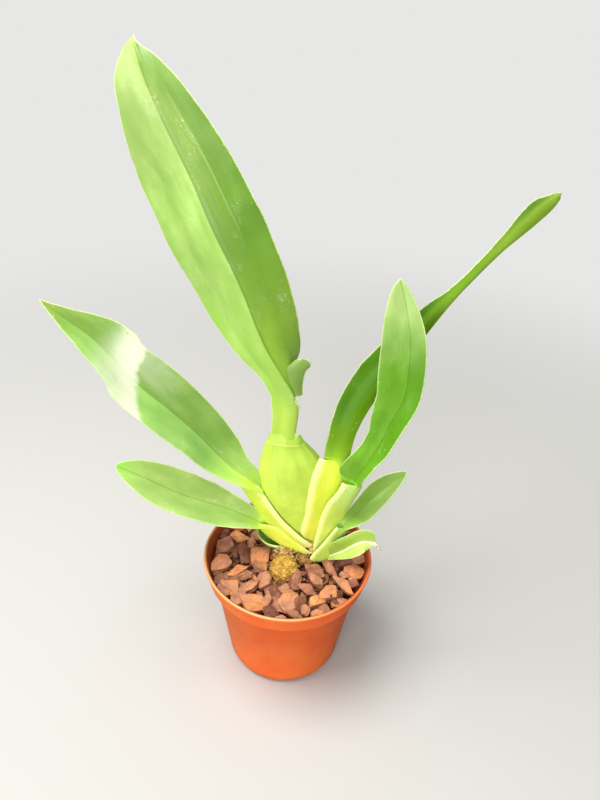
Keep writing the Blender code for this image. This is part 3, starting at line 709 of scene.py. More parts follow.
foam = plug_foam()
plug_low, plug_high = (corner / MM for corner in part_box("starter_plug"))
plug_middle = (plug_low + plug_high) / 2
PLUG_WIDE = (plug_high.x - plug_low.x) / 2 - 1.2  # radius before its lumps are pushed out
PLUG_FOOT, PLUG_TOP = plug_low.z, plug_high.z + 2
SHOULDER = PLUG_TOP - 8  # where the straight side turns into the rounded top
dome = [(0, PLUG_FOOT), (PLUG_WIDE * 0.5, PLUG_FOOT), (PLUG_WIDE * 0.85, PLUG_FOOT + 0.5)]
dome += [(PLUG_WIDE, z) for z in np.linspace(PLUG_FOOT + 2, SHOULDER - 1, 16)]
dome += [(PLUG_WIDE * math.cos(t) ** 0.75, SHOULDER + (PLUG_TOP - SHOULDER) * math.sin(t))
         for t in np.linspace(0.1, 1.52, 24)]
dome += [(0, PLUG_TOP)]
plug_at = (plug_middle.x, plug_middle.y, 0)
plug = lumpy_turned("starter_plug_lump", dome, plug_at, 84, ((5.0, 1.3), (1.9, 0.8), (0.8, 0.4)), 2)
finished(painted(plug, foam, 60), "plug_foam", "starter_plug")

cap = [point for point in dome[:-1] if point[0] > 0.4 and point[1] > SHOULDER - 1]
plug_crumbs = lumpy_turned("plug_crumbs", cap[:1] + cap + dome[-1:], plug_at, 48,
                           ((5.0, 1.3), (1.9, 0.8)), 2)
make_with(crumbs_over, plug_crumbs, {
    "Spacing": 0.75 * MM, "Size": 1.25 * MM, "Smallest": (0.5, 0.45, 0.4), "Largest": (1.15, 0.95, 0.8),
    "Roughen": 1.1 * MM, "Seed": 21, "Material": foam,
})
finished(plug_crumbs, "plug_foam")


# ---------------------------------------------------------------------------------------------------------
# The rhizome: the short woody creeping stem on top of the bark. It is a lumpy brown stub wrapped in the
# shreds and fibres of its dried scales, with a bare tan knob at its old end and cream roots going down.

def tube(name, path, radii, sides):
    """A round tube along a path, closed at both ends, with one radius for each point of the path."""
    path = [Vector(point) for point in path]
    points = path[:1]
    for i, (here, radius) in enumerate(zip(path, radii)):
        along = (path[min(i + 1, len(path) - 1)] - path[max(i - 1, 0)]).normalized()
        turned = along.to_track_quat("Z", "Y").to_matrix()
        for k in range(sides):
            turn = 2 * math.pi * k / sides
            points.append(here + turned @ Vector((radius * math.cos(turn), radius * math.sin(turn), 0)))
    return new_object(name, points + path[-1:], [], skin_faces(len(path), sides))


def woody(name, dark, light, fine):
    """Dry, pitted plant fibre between two tones; `fine` is the number of pits for each metre."""
    made, tree, shader, where = new_material(name, specular_ior_level=0.2)
    coarse = noisy(tree, where, 300, 4, 0.65)
    colour = mix(tree, ease(tree, coarse, 0.3, 0.7), dark, light)
    pits = ease(tree, noisy(tree, where, fine, 3, 0.6), 0.45, 0.3, 0, 0.8)
    colour = mix(tree, pits, colour, "3A2412")
    joined_to(tree, shader, colour, ease(tree, coarse, 0.3, 0.7, 0.75, 0.95),
              noisy(tree, where, fine, 4, 0.7), 0.8, 0.5)
    return made


def root_skin():
    """The spongy cream skin of a root, a little greener and dirty in places."""
    made, tree, shader, where = new_material("root_skin", specular_ior_level=0.3)
    blotches = noisy(tree, where, 160, 4)
    colour = mix(tree, ease(tree, blotches, 0.35, 0.7), "EDE6CC", "C9C69A")
    colour = mix(tree, ease(tree, noisy(tree, where, 700, 3), 0.55, 0.75, 0, 0.6), colour, "8A6B48")
    joined_to(tree, shader, colour, ease(tree, blotches, 0.3, 0.7, 0.6, 0.85),
              noisy(tree, where, 1200, 3), 0.4, 0.3)
    return made


def fibre_tree():
    """Bent fibres that stand out of a surface, each with its own length and lean."""
    tree, given, out = geometry_tree("husk_fibres", {
        "Count per area": "Float", "Shortest": "Float", "Longest": "Float", "Thickness": "Float",
        "Lean": "Vector", "Seed": "Int", "Material": "Material",
    })
    spots = add(tree, "GeometryNodeDistributePointsOnFaces", {"Mesh": given["Geometry"],
                "Density": given["Count per area"], "Seed": given["Seed"]}, distribute_method="RANDOM")
    strand = add(tree, "GeometryNodeCurveQuadraticBezier", {"Resolution": 7, "Start": (0, 0, 0),
                 "Middle": (0.1, 0, 0.6), "End": (0.55, 0.1, 0.9)})
    lean = random_vector(tree, scaled(tree, given["Lean"], -1.0), given["Lean"], given["Seed"])
    leant = add(tree, "FunctionNodeEulerToRotation", {0: lean}).outputs[0]
    turned = add(tree, "FunctionNodeRotateRotation", {"Rotation": spots.outputs["Rotation"],
                 "Rotate By": leant}, rotation_space="LOCAL").outputs[0]
    length = random_number(tree, given["Shortest"], given["Longest"], given["Seed"])
    strands = add(tree, "GeometryNodeInstanceOnPoints", {"Points": spots.outputs["Points"],
                  "Instance": strand.outputs["Curve"], "Rotation": turned, "Scale": length})
    real = add(tree, "GeometryNodeRealizeInstances", {"Geometry": strands.outputs["Instances"]})
    section = add(tree, "GeometryNodeCurvePrimitiveCircle", {"Resolution": 4, "Radius": given["Thickness"]})
    skin = add(tree, "GeometryNodeCurveToMesh", {"Curve": real.outputs["Geometry"],
               "Profile Curve": section.outputs["Curve"], "Fill Caps": True})
    return give_out(tree, skin.outputs["Mesh"], given, out)


husk = woody("husk_brown", "6E4826", "BE9256", 900)
knob_tan = woody("knob_tan", "B08A48", "EFD492", 1100)
fibres_of = fibre_tree()


def lumpy(obj, lumps, seed):
    """Pushes the points of a mesh about by noise; `lumps` are (size, depth) pairs in millimetres."""
    drift = Vector((seed * 3.7, seed * 1.9, seed * 5.3))
    for vertex in obj.data.vertices:
        for size, depth in lumps:
            vertex.co += depth * MM * noise.noise_vector(vertex.co / (size * MM) + drift)


STEM_STEPS = 60
stem_path = [(x, 8 - 1.2 * math.sin((x - 1) / 5), 55.3) for x in np.linspace(0.4, 16.8, STEM_STEPS)]
stem_radii = [3.9 * (0.5 + 0.5 * math.sin(math.pi * (0.1 + 0.8 * i / (STEM_STEPS - 1))) ** 0.6
                     + 0.05 * math.sin(i * 0.9)) for i in range(STEM_STEPS)]
stem = tube("rhizome_stem", stem_path, stem_radii, 40)
lumpy(stem, ((4.0, 0.7), (1.4, 0.35), (0.6, 0.15)), 4)
finished(painted(stem, husk, 60), "rhizome", "rhizome")


def ball_profile(radius, height, steps, ripple=0.0, start=0.12, end=3.02):
    """A section of a ball or egg from its lower to its upper pole, with a waist where it ripples."""
    turns = np.linspace(start, end, steps)
    belly = [(radius * math.sin(t), ripple * math.sin(3 * t) - height * math.cos(t)) for t in turns]
    return [(0, -height)] + belly + [(0, height)]


for name, profile, middle, count, lumps, seed, skin in (
    ("rhizome_knob", ball_profile(3.6, 3, 22, 0.4), (-1.6, 3.2, 59.6), 36,
     ((2.4, 1.3), (0.9, 0.6)), 6, knob_tan),
    ("dried_scales", ball_profile(5.4, 3, 20), (8.6, 2.4, 57.6), 40, ((2.2, 1.3), (0.8, 0.6)), 9, husk),
    ("rhizome_crown", ball_profile(2.6, 2.6, 16), (11.6, 3.2, 61), 28, ((2, 0.5),), 3, knob_tan),
):
    lump = lumpy_turned(name, profile, middle, count, lumps, seed)
    finished(painted(lump, skin, 60), "rhizome")

for name, middle, reach, count, longest, thick, skin, seed in (
    ("husk_fibres_right", (8.4, 2.2, 57.6), (5.6, 3.2, 2.8), 1.5e6, 3.6, 0.2, husk, 14),
    ("husk_fibres_left", (-0.6, 3.4, 59), (4.2, 2.8, 2.6), 0.9e6, 2.8, 0.2, husk, 15),
    ("husk_curls", (0.4, 3, 58.8), (6, 3.2, 3), 1.1e6, 2.8, 0.36, knob_tan, 16),
):
    strands = lumpy_turned(name, ball_profile(1, 1, 9, start=0.3, end=2.84), (0, 0, 0), 14, (), 1)
    for vertex in strands.data.vertices:
        vertex.co = Vector([(m + v / MM * r) * MM for m, v, r in zip(middle, vertex.co, reach)])
    face_outwards(strands, 180)
    make_with(fibres_of, strands, {
        "Count per area": count, "Shortest": 1.2 * MM, "Longest": longest * MM, "Thickness": thick * MM,
        "Lean": (1.1, 1.1, 3.1), "Seed": seed, "Material": skin,
    })
    finished(strands, "rhizome")

root_cream = root_skin()
for number in range(1, 5):
    refinished(f"root_{number:02d}", root_cream)


# ---------------------------------------------------------------------------------------------------------
# The pseudobulb: the plant's flattened, juicy store of water. Its thin green-yellow skin is smooth, with
# faint ribs and rings that run down from the scar where the top leaf grew out and was torn.

def smooth(values, shares):
    """A smooth curve through evenly spaced values, read at shares of its length from 0 to 1."""
    values = np.array(values, float)
    values = np.concatenate([[2 * values[0] - values[1]], values, [2 * values[-1] - values[-2]]])
    place = np.clip(shares, 0, 1) * (len(values) - 3)
    first = np.minimum(place.astype(int), len(values) - 4)
    step = place - first
    if values.ndim > 1:
        step = step[:, None]
    a, b, c, d = (values[first + i] for i in range(4))
    bend = 2 * a - 5 * b + 4 * c - d
    twist = 3 * b - a - 3 * c + d
    return 0.5 * (2 * b + (c - a) * step + bend * step**2 + twist * step**3)


SCAR = 0.885  # height of the ring that the fallen leaf left, as a share of the bulb's height


def bulb_skin():
    """Green-yellow skin, paler at its foot, with faint darker ribs and the pale ring of the leaf's scar."""
    made, tree, shader, where = new_material("bulb_skin", specular_ior_level=0.5)
    place = attribute(tree, "place", "Vector")
    height = add(tree, "ShaderNodeSeparateXYZ", {0: place}).outputs[1]
    cloud = noisy(tree, where, 60, 4, 0.6)
    streaks = noisy(tree, stretched(tree, place, 26, 1.6, 1), 1.0, 3, 0.55)
    colour = mix(tree, ease(tree, cloud, 0.3, 0.7), "B9D84C", "D2EE5E")
    colour = mix(tree, ease(tree, height, 0.62, 0.98, 0, 0.55), colour, "A6CE48")
    colour = mix(tree, ease(tree, height, 0.4, 0.0, 0, 0.6), colour, "DDF268")
    ribs = times(tree, ease(tree, streaks, 0.5, 0.66), ease(tree, height, 0.35, 0.85, 0.06, 0.3))
    colour = mix(tree, ribs, colour, "8DBB3C")
    scar = ease(tree, size_of(tree, less(tree, height, SCAR)), 0.014, 0.003, 0, 0.45)
    colour = mix(tree, scar, colour, "E6F77A")
    colour = dusted(tree, where, colour, 500, 0.35, "F2F7C8", 0.45, "6E7A2A")
    joined_to(tree, shader, colour, ease(tree, cloud, 0.3, 0.7, 0.32, 0.45), streaks, 0.25, 0.3)
    return made


# Middle (x, y, z), half width and half depth of the bulb at levels from its foot up into the leaf's stalk
BULB_LEVELS = (
    (8.0, 8.0, 60.2, 3.2, 3.2), (7.0, 8.1, 66.3, 6.4, 4.8), (5.9, 8.2, 72.4, 11.0, 6.0),
    (4.9, 8.3, 78.4, 14.0, 6.7), (3.8, 8.4, 84.5, 15.6, 7.0), (2.8, 8.5, 90.6, 16.2, 7.0),
    (1.7, 8.6, 96.7, 16.3, 7.0), (0.7, 8.7, 102.8, 15.8, 6.8), (-0.4, 8.8, 108.8, 14.7, 6.4),
    (-1.4, 8.8, 114.4, 12.6, 5.6), (-2.9, 8.3, 119.5, 9.9, 4.2), (-3.7, 7.6, 123.2, 7.7, 2.9),
    (-4.9, 7.0, 126.8, 5.4, 1.2))
BULB_RINGS, BULB_SIDES = 110, 96

points, places = [BULB_LEVELS[0][:3]], [(0, 0, 0)]
for share in np.linspace(0, 1, BULB_RINGS):
    x, y, z, width, depth = smooth(BULB_LEVELS, np.array([share]))[0]
    for k in range(BULB_SIDES):
        turn = 2 * math.pi * k / BULB_SIDES
        upper = max(0.0, share - 0.4) / 0.6
        rib = 0.1 * upper * math.cos(13 * turn + 2 * noise.noise(Vector((turn, 0, 4))))
        rib += 0.3 * noise.noise(Vector((3 * math.cos(turn), 3 * math.sin(turn), share * 5)))
        rib += 0.15 * math.exp(-((share - SCAR) / 0.008) ** 2)
        points.append((x + (width + rib) * math.cos(turn), y + (depth + rib) * math.sin(turn), z))
        places.append((k / BULB_SIDES, share, 0))
points.append((-5.0, 7.0, 127.2))
places.append((0, 1, 0))
bulb = new_object("pseudobulb_body", points, [], skin_faces(BULB_RINGS, BULB_SIDES))
carries(bulb, "place", "FLOAT_VECTOR", places)
finished(painted(bulb, bulb_skin(), 70), "bulb", "pseudobulb")


# ---------------------------------------------------------------------------------------------------------
# The leaves: each is a soft, springy strap folded along its midrib, on a pale sheath that wraps the bulb.
# A joint line crosses where the sheath ends, and the green blade opens out above it.

LEAF_STATIONS = 150
LEAF_ARM = 12  # points from the midrib to a margin
LEAF_THICKNESS = 0.7


def unit(vectors):
    return vectors / np.linalg.norm(vectors, axis=1)[:, None]


def through(knots, shares):
    """A softened line through uneven (share, value) knots."""
    places, values = zip(*knots)
    grid = np.linspace(-0.1, 1.1, 961)
    window = np.hanning(41)
    fine = np.interp(grid, places, values)
    soft = np.convolve(np.pad(fine, 20, mode="edge"), window / window.sum(), "valid")
    return np.interp(shares, grid, soft)


def even_spine(spine, count):
    """Points evenly spaced by length along the smooth curve through the spine's points, and its length."""
    fine = smooth(spine, np.linspace(0, 1, 400))
    run = np.concatenate([[0], np.cumsum(np.linalg.norm(np.diff(fine, axis=0), axis=1))])
    wanted = np.linspace(0, run[-1], count)
    return np.stack([np.interp(wanted, run, fine[:, axis]) for axis in range(3)], axis=1), run[-1]


def arm_shares():
    """Shares of the way from a midrib to a margin, closer together towards the margin."""
    return 1 - (1 - np.arange(1, LEAF_ARM + 1) / LEAF_ARM) ** 1.25


def sway(length, shares, period, seed):
    """A gentle uneven wave along a margin."""
    return np.array([noise.noise(Vector((share * length / period, 0, seed))) for share in shares])


def arm_place(way, share, width, run):
    """Where the points of one line along a leaf lie: from the midrib, from the base and from the margin."""
    return np.stack([way * share * width, run, (1 - share) * width], 1)


def joined_arms(arms, spine, places, middle_room, length, shares):
    """The rows of both halves and the midrib between them, with their places on the leaf."""
    middle = np.stack([0 * shares, shares * length, middle_room], 1)
    return (np.array(arms[0][::-1] + [spine] + arms[1]), np.array(places[0][::-1] + [middle] + places[1]),
            shares)


def blade_sheet(blade, seed):
    """The middle surface of a blade: two halves folded about the midrib, tapering to the tip."""
    shares = np.linspace(0, 1, LEAF_STATIONS)
    spine, length = even_spine(blade["spine"], LEAF_STATIONS)
    along = unit(np.gradient(spine, axis=0))
    face = smooth(blade["face"], shares)
    face = unit(face - (face * along).sum(1)[:, None] * along)
    side = np.cross(along, face)
    narrowing = np.clip((shares - 1 + blade["tip"]) / blade["tip"], 0, 1)
    taper = np.clip(1 - narrowing**2, 0, 1) ** 0.6
    arms, places, widths = [], [], []
    for way, half, bend in ((-1, "left", "left_fold"), (1, "right", "right_fold")):
        width = np.maximum(through(blade.get(half) or blade["left"], shares) * taper, 0.25)
        fold = np.radians(through(blade.get(bend) or blade["fold"], shares))
        wave = blade["wave"] * sway(length, shares, 14, seed * 2.7 + way)
        wave = (wave + 0.15 * sway(length, shares, 4, seed * 1.3 + way)) * np.clip(width / 8, 0, 1)
        arm, arm_places = [], []
        for share in arm_shares():
            spread = math.pi / 2 - (math.pi / 2 - fold) * min(1, 0.4 + share)
            rise = width * share * np.cos(spread) + share**2 * wave
            reach = width * share * np.sin(spread)
            arm.append(spine + rise[:, None] * face + way * reach[:, None] * side)
            arm_places.append(arm_place(way, share, width, shares * length))
        arms.append(arm)
        places.append(arm_places)
        widths.append(width)
    return joined_arms(arms, spine, places, np.minimum(*widths), length, shares)


def sheath_sheet(sheath, seed):
    """The middle surface of a sheath: a trough from its keel round to a margin at the front and the back."""
    shares = np.linspace(0, 1, LEAF_STATIONS // 2)
    keel, length = even_spine(sheath["keel"], len(shares))
    margin, _ = even_spine(sheath["margin"], len(shares))
    arms, places = [], []
    for way in (-1, 1):
        rim = margin + np.outer(0.25 * sway(length, shares, 5, seed + way), (0.6, 0, 0.6))
        if way > 0:
            rim = keel + 0.6 * (rim - keel)  # the back wraps the bulb less than the front
        rim[:, 1] = keel[:, 1] + way * (keel[:, 1] - margin[:, 1])
        arm, arm_places = [], []
        for share in arm_shares():
            turn = share * math.pi / 2
            point = keel + (rim - keel) * (1 - math.cos(turn))
            point[:, 1] = keel[:, 1] + (rim[:, 1] - keel[:, 1]) * math.sin(turn)
            point[:, 1] += way * sheath.get("swell", 0.55) * math.exp(-((share - 0.88) / 0.08) ** 2)
            arm.append(point)
            arm_places.append(arm_place(way, share, np.linalg.norm(rim - keel, axis=1), shares * length))
        arms.append(arm)
        places.append(arm_places)
    return joined_arms(arms, keel, places, np.linalg.norm(margin - keel, axis=1), length, shares)


def leaf_group():
    """The skin of a leaf: greens with painted light and shade on its halves, a painted highlight along the
    fold, parallel veins, midrib, pale rims, crease, bleached band and scuffs.
    """
    colours = {"Blade": "8FC64C", "Right Half": "8FC64C", "Tip": "B8E08A", "Base": "A8DC50",
               "Foot": "C4E84A", "Rim Tint": "E4F2B4"}
    numbers = {"Base End": 0.1, "Base Right": 1.0, "Foot End": 0.001, "Tip Start": 0.8, "Tip Left": 1.0,
               "Midrib": 0.6, "Rib Pale": 0.0, "Rib Width": 0.5, "Rib From": -0.2, "Veins": 0.35,
               "Rim": 0.55, "Rim Strength": 0.7, "Rim From": -0.1, "Scuffs": 0.5, "Fold Light": 0.0,
               "Crease": 0.25, "Crease From": 2.0, "Crease To": 3.0, "Under Tint": 0.35,
               "Bleach": 0.0, "Bleach From": 0.5, "Bleach To": 0.6, "Bleach Lean": 0.0}
    wanted = {"Place": ("Vector", (0, 0, 0)), "Along": ("Float", 0.0), "Upper": ("Float", 1.0)}
    wanted |= {title: ("Color", linear(code)) for title, code in colours.items()}
    wanted |= {title: ("Float", value) for title, value in numbers.items()}
    tree, given, out = shader_group("leaf_skin", wanted,
                                    {"Colour": "Color", "Roughness": "Float", "Height": "Float"})
    place, along = given["Place"], given["Along"]
    across, _, margin = add(tree, "ShaderNodeSeparateXYZ", {0: place}).outputs
    off = size_of(tree, across)
    wide = noisy(tree, stretched(tree, place, 0.12, 0.05, 0), 1.0, 3, 0.55)
    veins = noisy(tree, stretched(tree, place, 2.3, 0.02, 0), 1.0, 3, 0.6)
    grain = noisy(tree, stretched(tree, place, 1.6, 0.9, 0), 1.0, 3, 0.6)

    def ragged(pattern, spread):
        """The pattern as an unevenness of so much either way."""
        return ease(tree, pattern, 0.3, 0.7, -spread, spread)

    def share_of(part, whole):
        return maths(tree, "DIVIDE", part, whole)

    def toned(share, colour, tone):
        """The colour made lighter or darker by a tone, by a share."""
        return mix(tree, share, colour, (*tone, 1), "MULTIPLY")

    # painted light and shade: across the fold one half gets a lighter green as if lit, the other a darker
    # green as if shaded
    colour = mix(tree, ease(tree, across, -0.6, 0.6), given["Blade"], given["Right Half"])
    near_tip = share_of(less(tree, along, given["Tip Start"]), less(tree, 1.0, given["Tip Start"]))
    tipped = times(tree, ease(tree, near_tip, 0, 1), ease(tree, across, -1, 1, given["Tip Left"], 1.0))
    colour = mix(tree, tipped, colour, given["Tip"])
    shade = mix(tree, ease(tree, wide, 0.3, 0.7), (0.78, 0.86, 0.72, 1), (1.12, 1.08, 1.12, 1))
    colour = mix(tree, 0.85, colour, shade, "MULTIPLY")
    line = times(tree, ease(tree, veins, 0.35, 0.65), given["Veins"])
    colour = mix(tree, line, colour, toned(0.8, colour, (0.74, 0.84, 0.6)))
    fold_light = times(tree, ease(tree, off, 6.0, 3.0), given["Fold Light"])
    colour = mix(tree, fold_light, colour, toned(1.0, colour, (1.75, 1.35, 0.9)))

    based = ease(tree, across, -1, 1, 1.0, given["Base Right"])
    for title, full, spread in (("Base", 0.1, 0.07), ("Foot", 0.6, 0.06)):
        reach = plus(tree, share_of(along, given[title + " End"]), ragged(wide, spread))
        colour = mix(tree, times(tree, ease(tree, reach, 1.0, full), based), colour, given[title])

    rib = times(tree, ease(tree, off, given["Rib Width"], 0.1), ease(tree, margin, 0.6, 2.0),
                ease(tree, less(tree, along, given["Rib From"]), 0, 0.2), given["Midrib"])
    rib_tint = mix(tree, given["Rib Pale"], toned(1.0, colour, (0.6, 0.64, 0.3)), "EEF6D2")
    colour = mix(tree, rib, colour, rib_tint)

    half_width = plus(tree, off, maths(tree, "MAXIMUM", margin, 0.05))
    crease_on = times(tree, ease(tree, less(tree, along, given["Crease From"]), 0, 0.08),
                      ease(tree, less(tree, along, given["Crease To"]), 0, -0.12))
    crease_off = size_of(tree, less(tree, across, times(tree, given["Crease"], half_width)))
    crease = times(tree, ease(tree, crease_off, 0.5, 0.15), crease_on)
    strip = times(tree, given["Crease"], 0.5)
    strip_off = less(tree, share_of(across, half_width), strip)
    strip_off = share_of(size_of(tree, strip_off), size_of(tree, strip))
    between = times(tree, ease(tree, strip_off, 1.05, 0.8), crease_on, 0.35)
    colour = mix(tree, between, colour, toned(1.0, colour, (1.5, 1.28, 1.2)))
    colour = mix(tree, times(tree, crease, 0.16), colour, "DDF0B0")

    start = plus(tree, given["Bleach From"], times(tree, across, given["Bleach Lean"]))
    uneven = plus(tree, along, ragged(wide, 0.012))
    past = less(tree, uneven, start)
    before = less(tree, uneven, given["Bleach To"])
    band = times(tree, ease(tree, past, 0, 0.035), ease(tree, before, 0.05, -0.05))
    heart = ease(tree, size_of(tree, less(tree, past, 0.05)), 0.12, 0.0, 0.55, 1.0)
    faded = times(tree, band, heart, ease(tree, veins, 0.3, 0.7, 0.8, 1.0))
    # a soft pale fringe on the base side of the band, over its right half
    band_fringe = times(tree, ease(tree, past, -0.2, 0.0, 0, 0.3), ease(tree, past, 0.05, 0.02),
                  ease(tree, across, 1, 5))
    colour = mix(tree, times(tree, maths(tree, "MAXIMUM", faded, band_fringe), given["Bleach"]), colour, "F6FAE2")

    soft = plus(tree, share_of(margin, given["Rim"]), ragged(grain, 0.2))
    rim_on = ease(tree, along, given["Rim From"], plus(tree, given["Rim From"], 0.08))
    colour = mix(tree, times(tree, ease(tree, soft, 1.0, 0.3), given["Rim Strength"], rim_on), colour,
                 given["Rim Tint"])

    winding = noisy(tree, stretched(tree, place, 0.4, 0.25, 0), 1.0, 1, 0.5, 1.4)
    scratch = ease(tree, size_of(tree, less(tree, winding, 0.5)), 0.016, 0.004)
    patch = ease(tree, noisy(tree, stretched(tree, place, 0.07, 0.03, 0), 1.7, 2), 0.52, 0.62)
    colour = mix(tree, times(tree, scratch, patch, given["Scuffs"], 0.4), colour, "E2F2CC")
    bloom = times(tree, ease(tree, grain, 0.5, 0.7), patch, given["Scuffs"], 0.07)
    colour = mix(tree, bloom, colour, "E2F0CE")

    under = mix(tree, given["Under Tint"], colour, "C4DDA0")
    relief = plus(tree, times(tree, veins, 0.8), times(tree, grain, 0.25))
    relief = plus(tree, relief, times(tree, crease, 0.5))
    for title, value in (
        ("Colour", mix(tree, given["Upper"], under, colour)),
        ("Roughness", plus(tree, ease(tree, wide, 0.3, 0.7, 0.36, 0.5), times(tree, bloom, 0.5))),
        ("Height", relief),
    ):
        tree.links.new(value, out[title])
    return tree


leaf_skin = leaf_group()


def leaf_material(name, look):
    """A leaf's own material: the shared skin with this leaf's colours, joint, rims and marks."""
    look = dict(look)
    made, tree, shader, where = new_material(name, specular_ior_level=look.pop("Shine", 0.42))
    skin = add(tree, "ShaderNodeGroup", {"Place": attribute(tree, "place", "Vector"),
               "Along": attribute(tree, "along"), "Upper": attribute(tree, "upper")}, node_tree=leaf_skin)
    for title, value in look.items():
        skin.inputs[title].default_value = linear(value) if isinstance(value, str) else value
    colour = dusted(tree, where, skin.outputs["Colour"], 420, 0.6, "EEF5D8", 0.4, "3E4A1C")
    joined_to(tree, shader, colour, skin.outputs["Roughness"], skin.outputs["Height"], 0.3, 0.25)
    return made


def two_skins(name, sheet, places, shares, look, thickness=LEAF_THICKNESS):
    """A thin body from a sheet, with an upper and an under skin, thinner at its margins, and its look."""
    across = np.gradient(sheet, axis=0)
    along = np.gradient(sheet, axis=1)
    normal = np.cross(across, along)
    normal /= np.maximum(np.linalg.norm(normal, axis=2), 1e-9)[:, :, None]
    rows, count = sheet.shape[:2]
    off = np.abs(places[:, :, 0])
    half = thickness / 2 * (1 - 0.6 * np.exp(-places[:, :, 2] / 1.2))
    keel = 0.45 * np.exp(-(off / 0.7) ** 2) * (places[:, :, 2] > 1)
    groove = 0.16 * np.exp(-(off / 0.45) ** 2) * (places[:, :, 2] > 1)
    front = sheet + normal * (half - groove)[:, :, None]
    behind = sheet - normal * (half + keel)[:, :, None]
    points = np.concatenate([front.reshape(-1, 3), behind.reshape(-1, 3)])
    under = rows * count
    faces = []
    for i in range(rows - 1):
        for j in range(count - 1):
            corner = i * count + j
            quad = (corner, corner + 1, corner + count + 1, corner + count)
            faces.append(quad[::-1])
            faces.append(tuple(under + k for k in quad))
    border = list(range(count))
    border += [i * count + count - 1 for i in range(1, rows)]
    border += [(rows - 1) * count + j for j in range(count - 2, -1, -1)]
    border += [i * count for i in range(rows - 2, 0, -1)]
    for here, there in zip(border, border[1:] + border[:1]):
        faces.append((here, there, under + there, under + here))
    made = new_object(name, points, [], faces)
    carries(made, "place", "FLOAT_VECTOR", np.concatenate([places, places]))
    carries(made, "along", "FLOAT", np.tile(np.broadcast_to(shares, (rows, count)).ravel(), 2))
    carries(made, "upper", "FLOAT", np.repeat([1.0, 0.0], under))
    return painted(made, leaf_material(name + "_skin", look), 50)


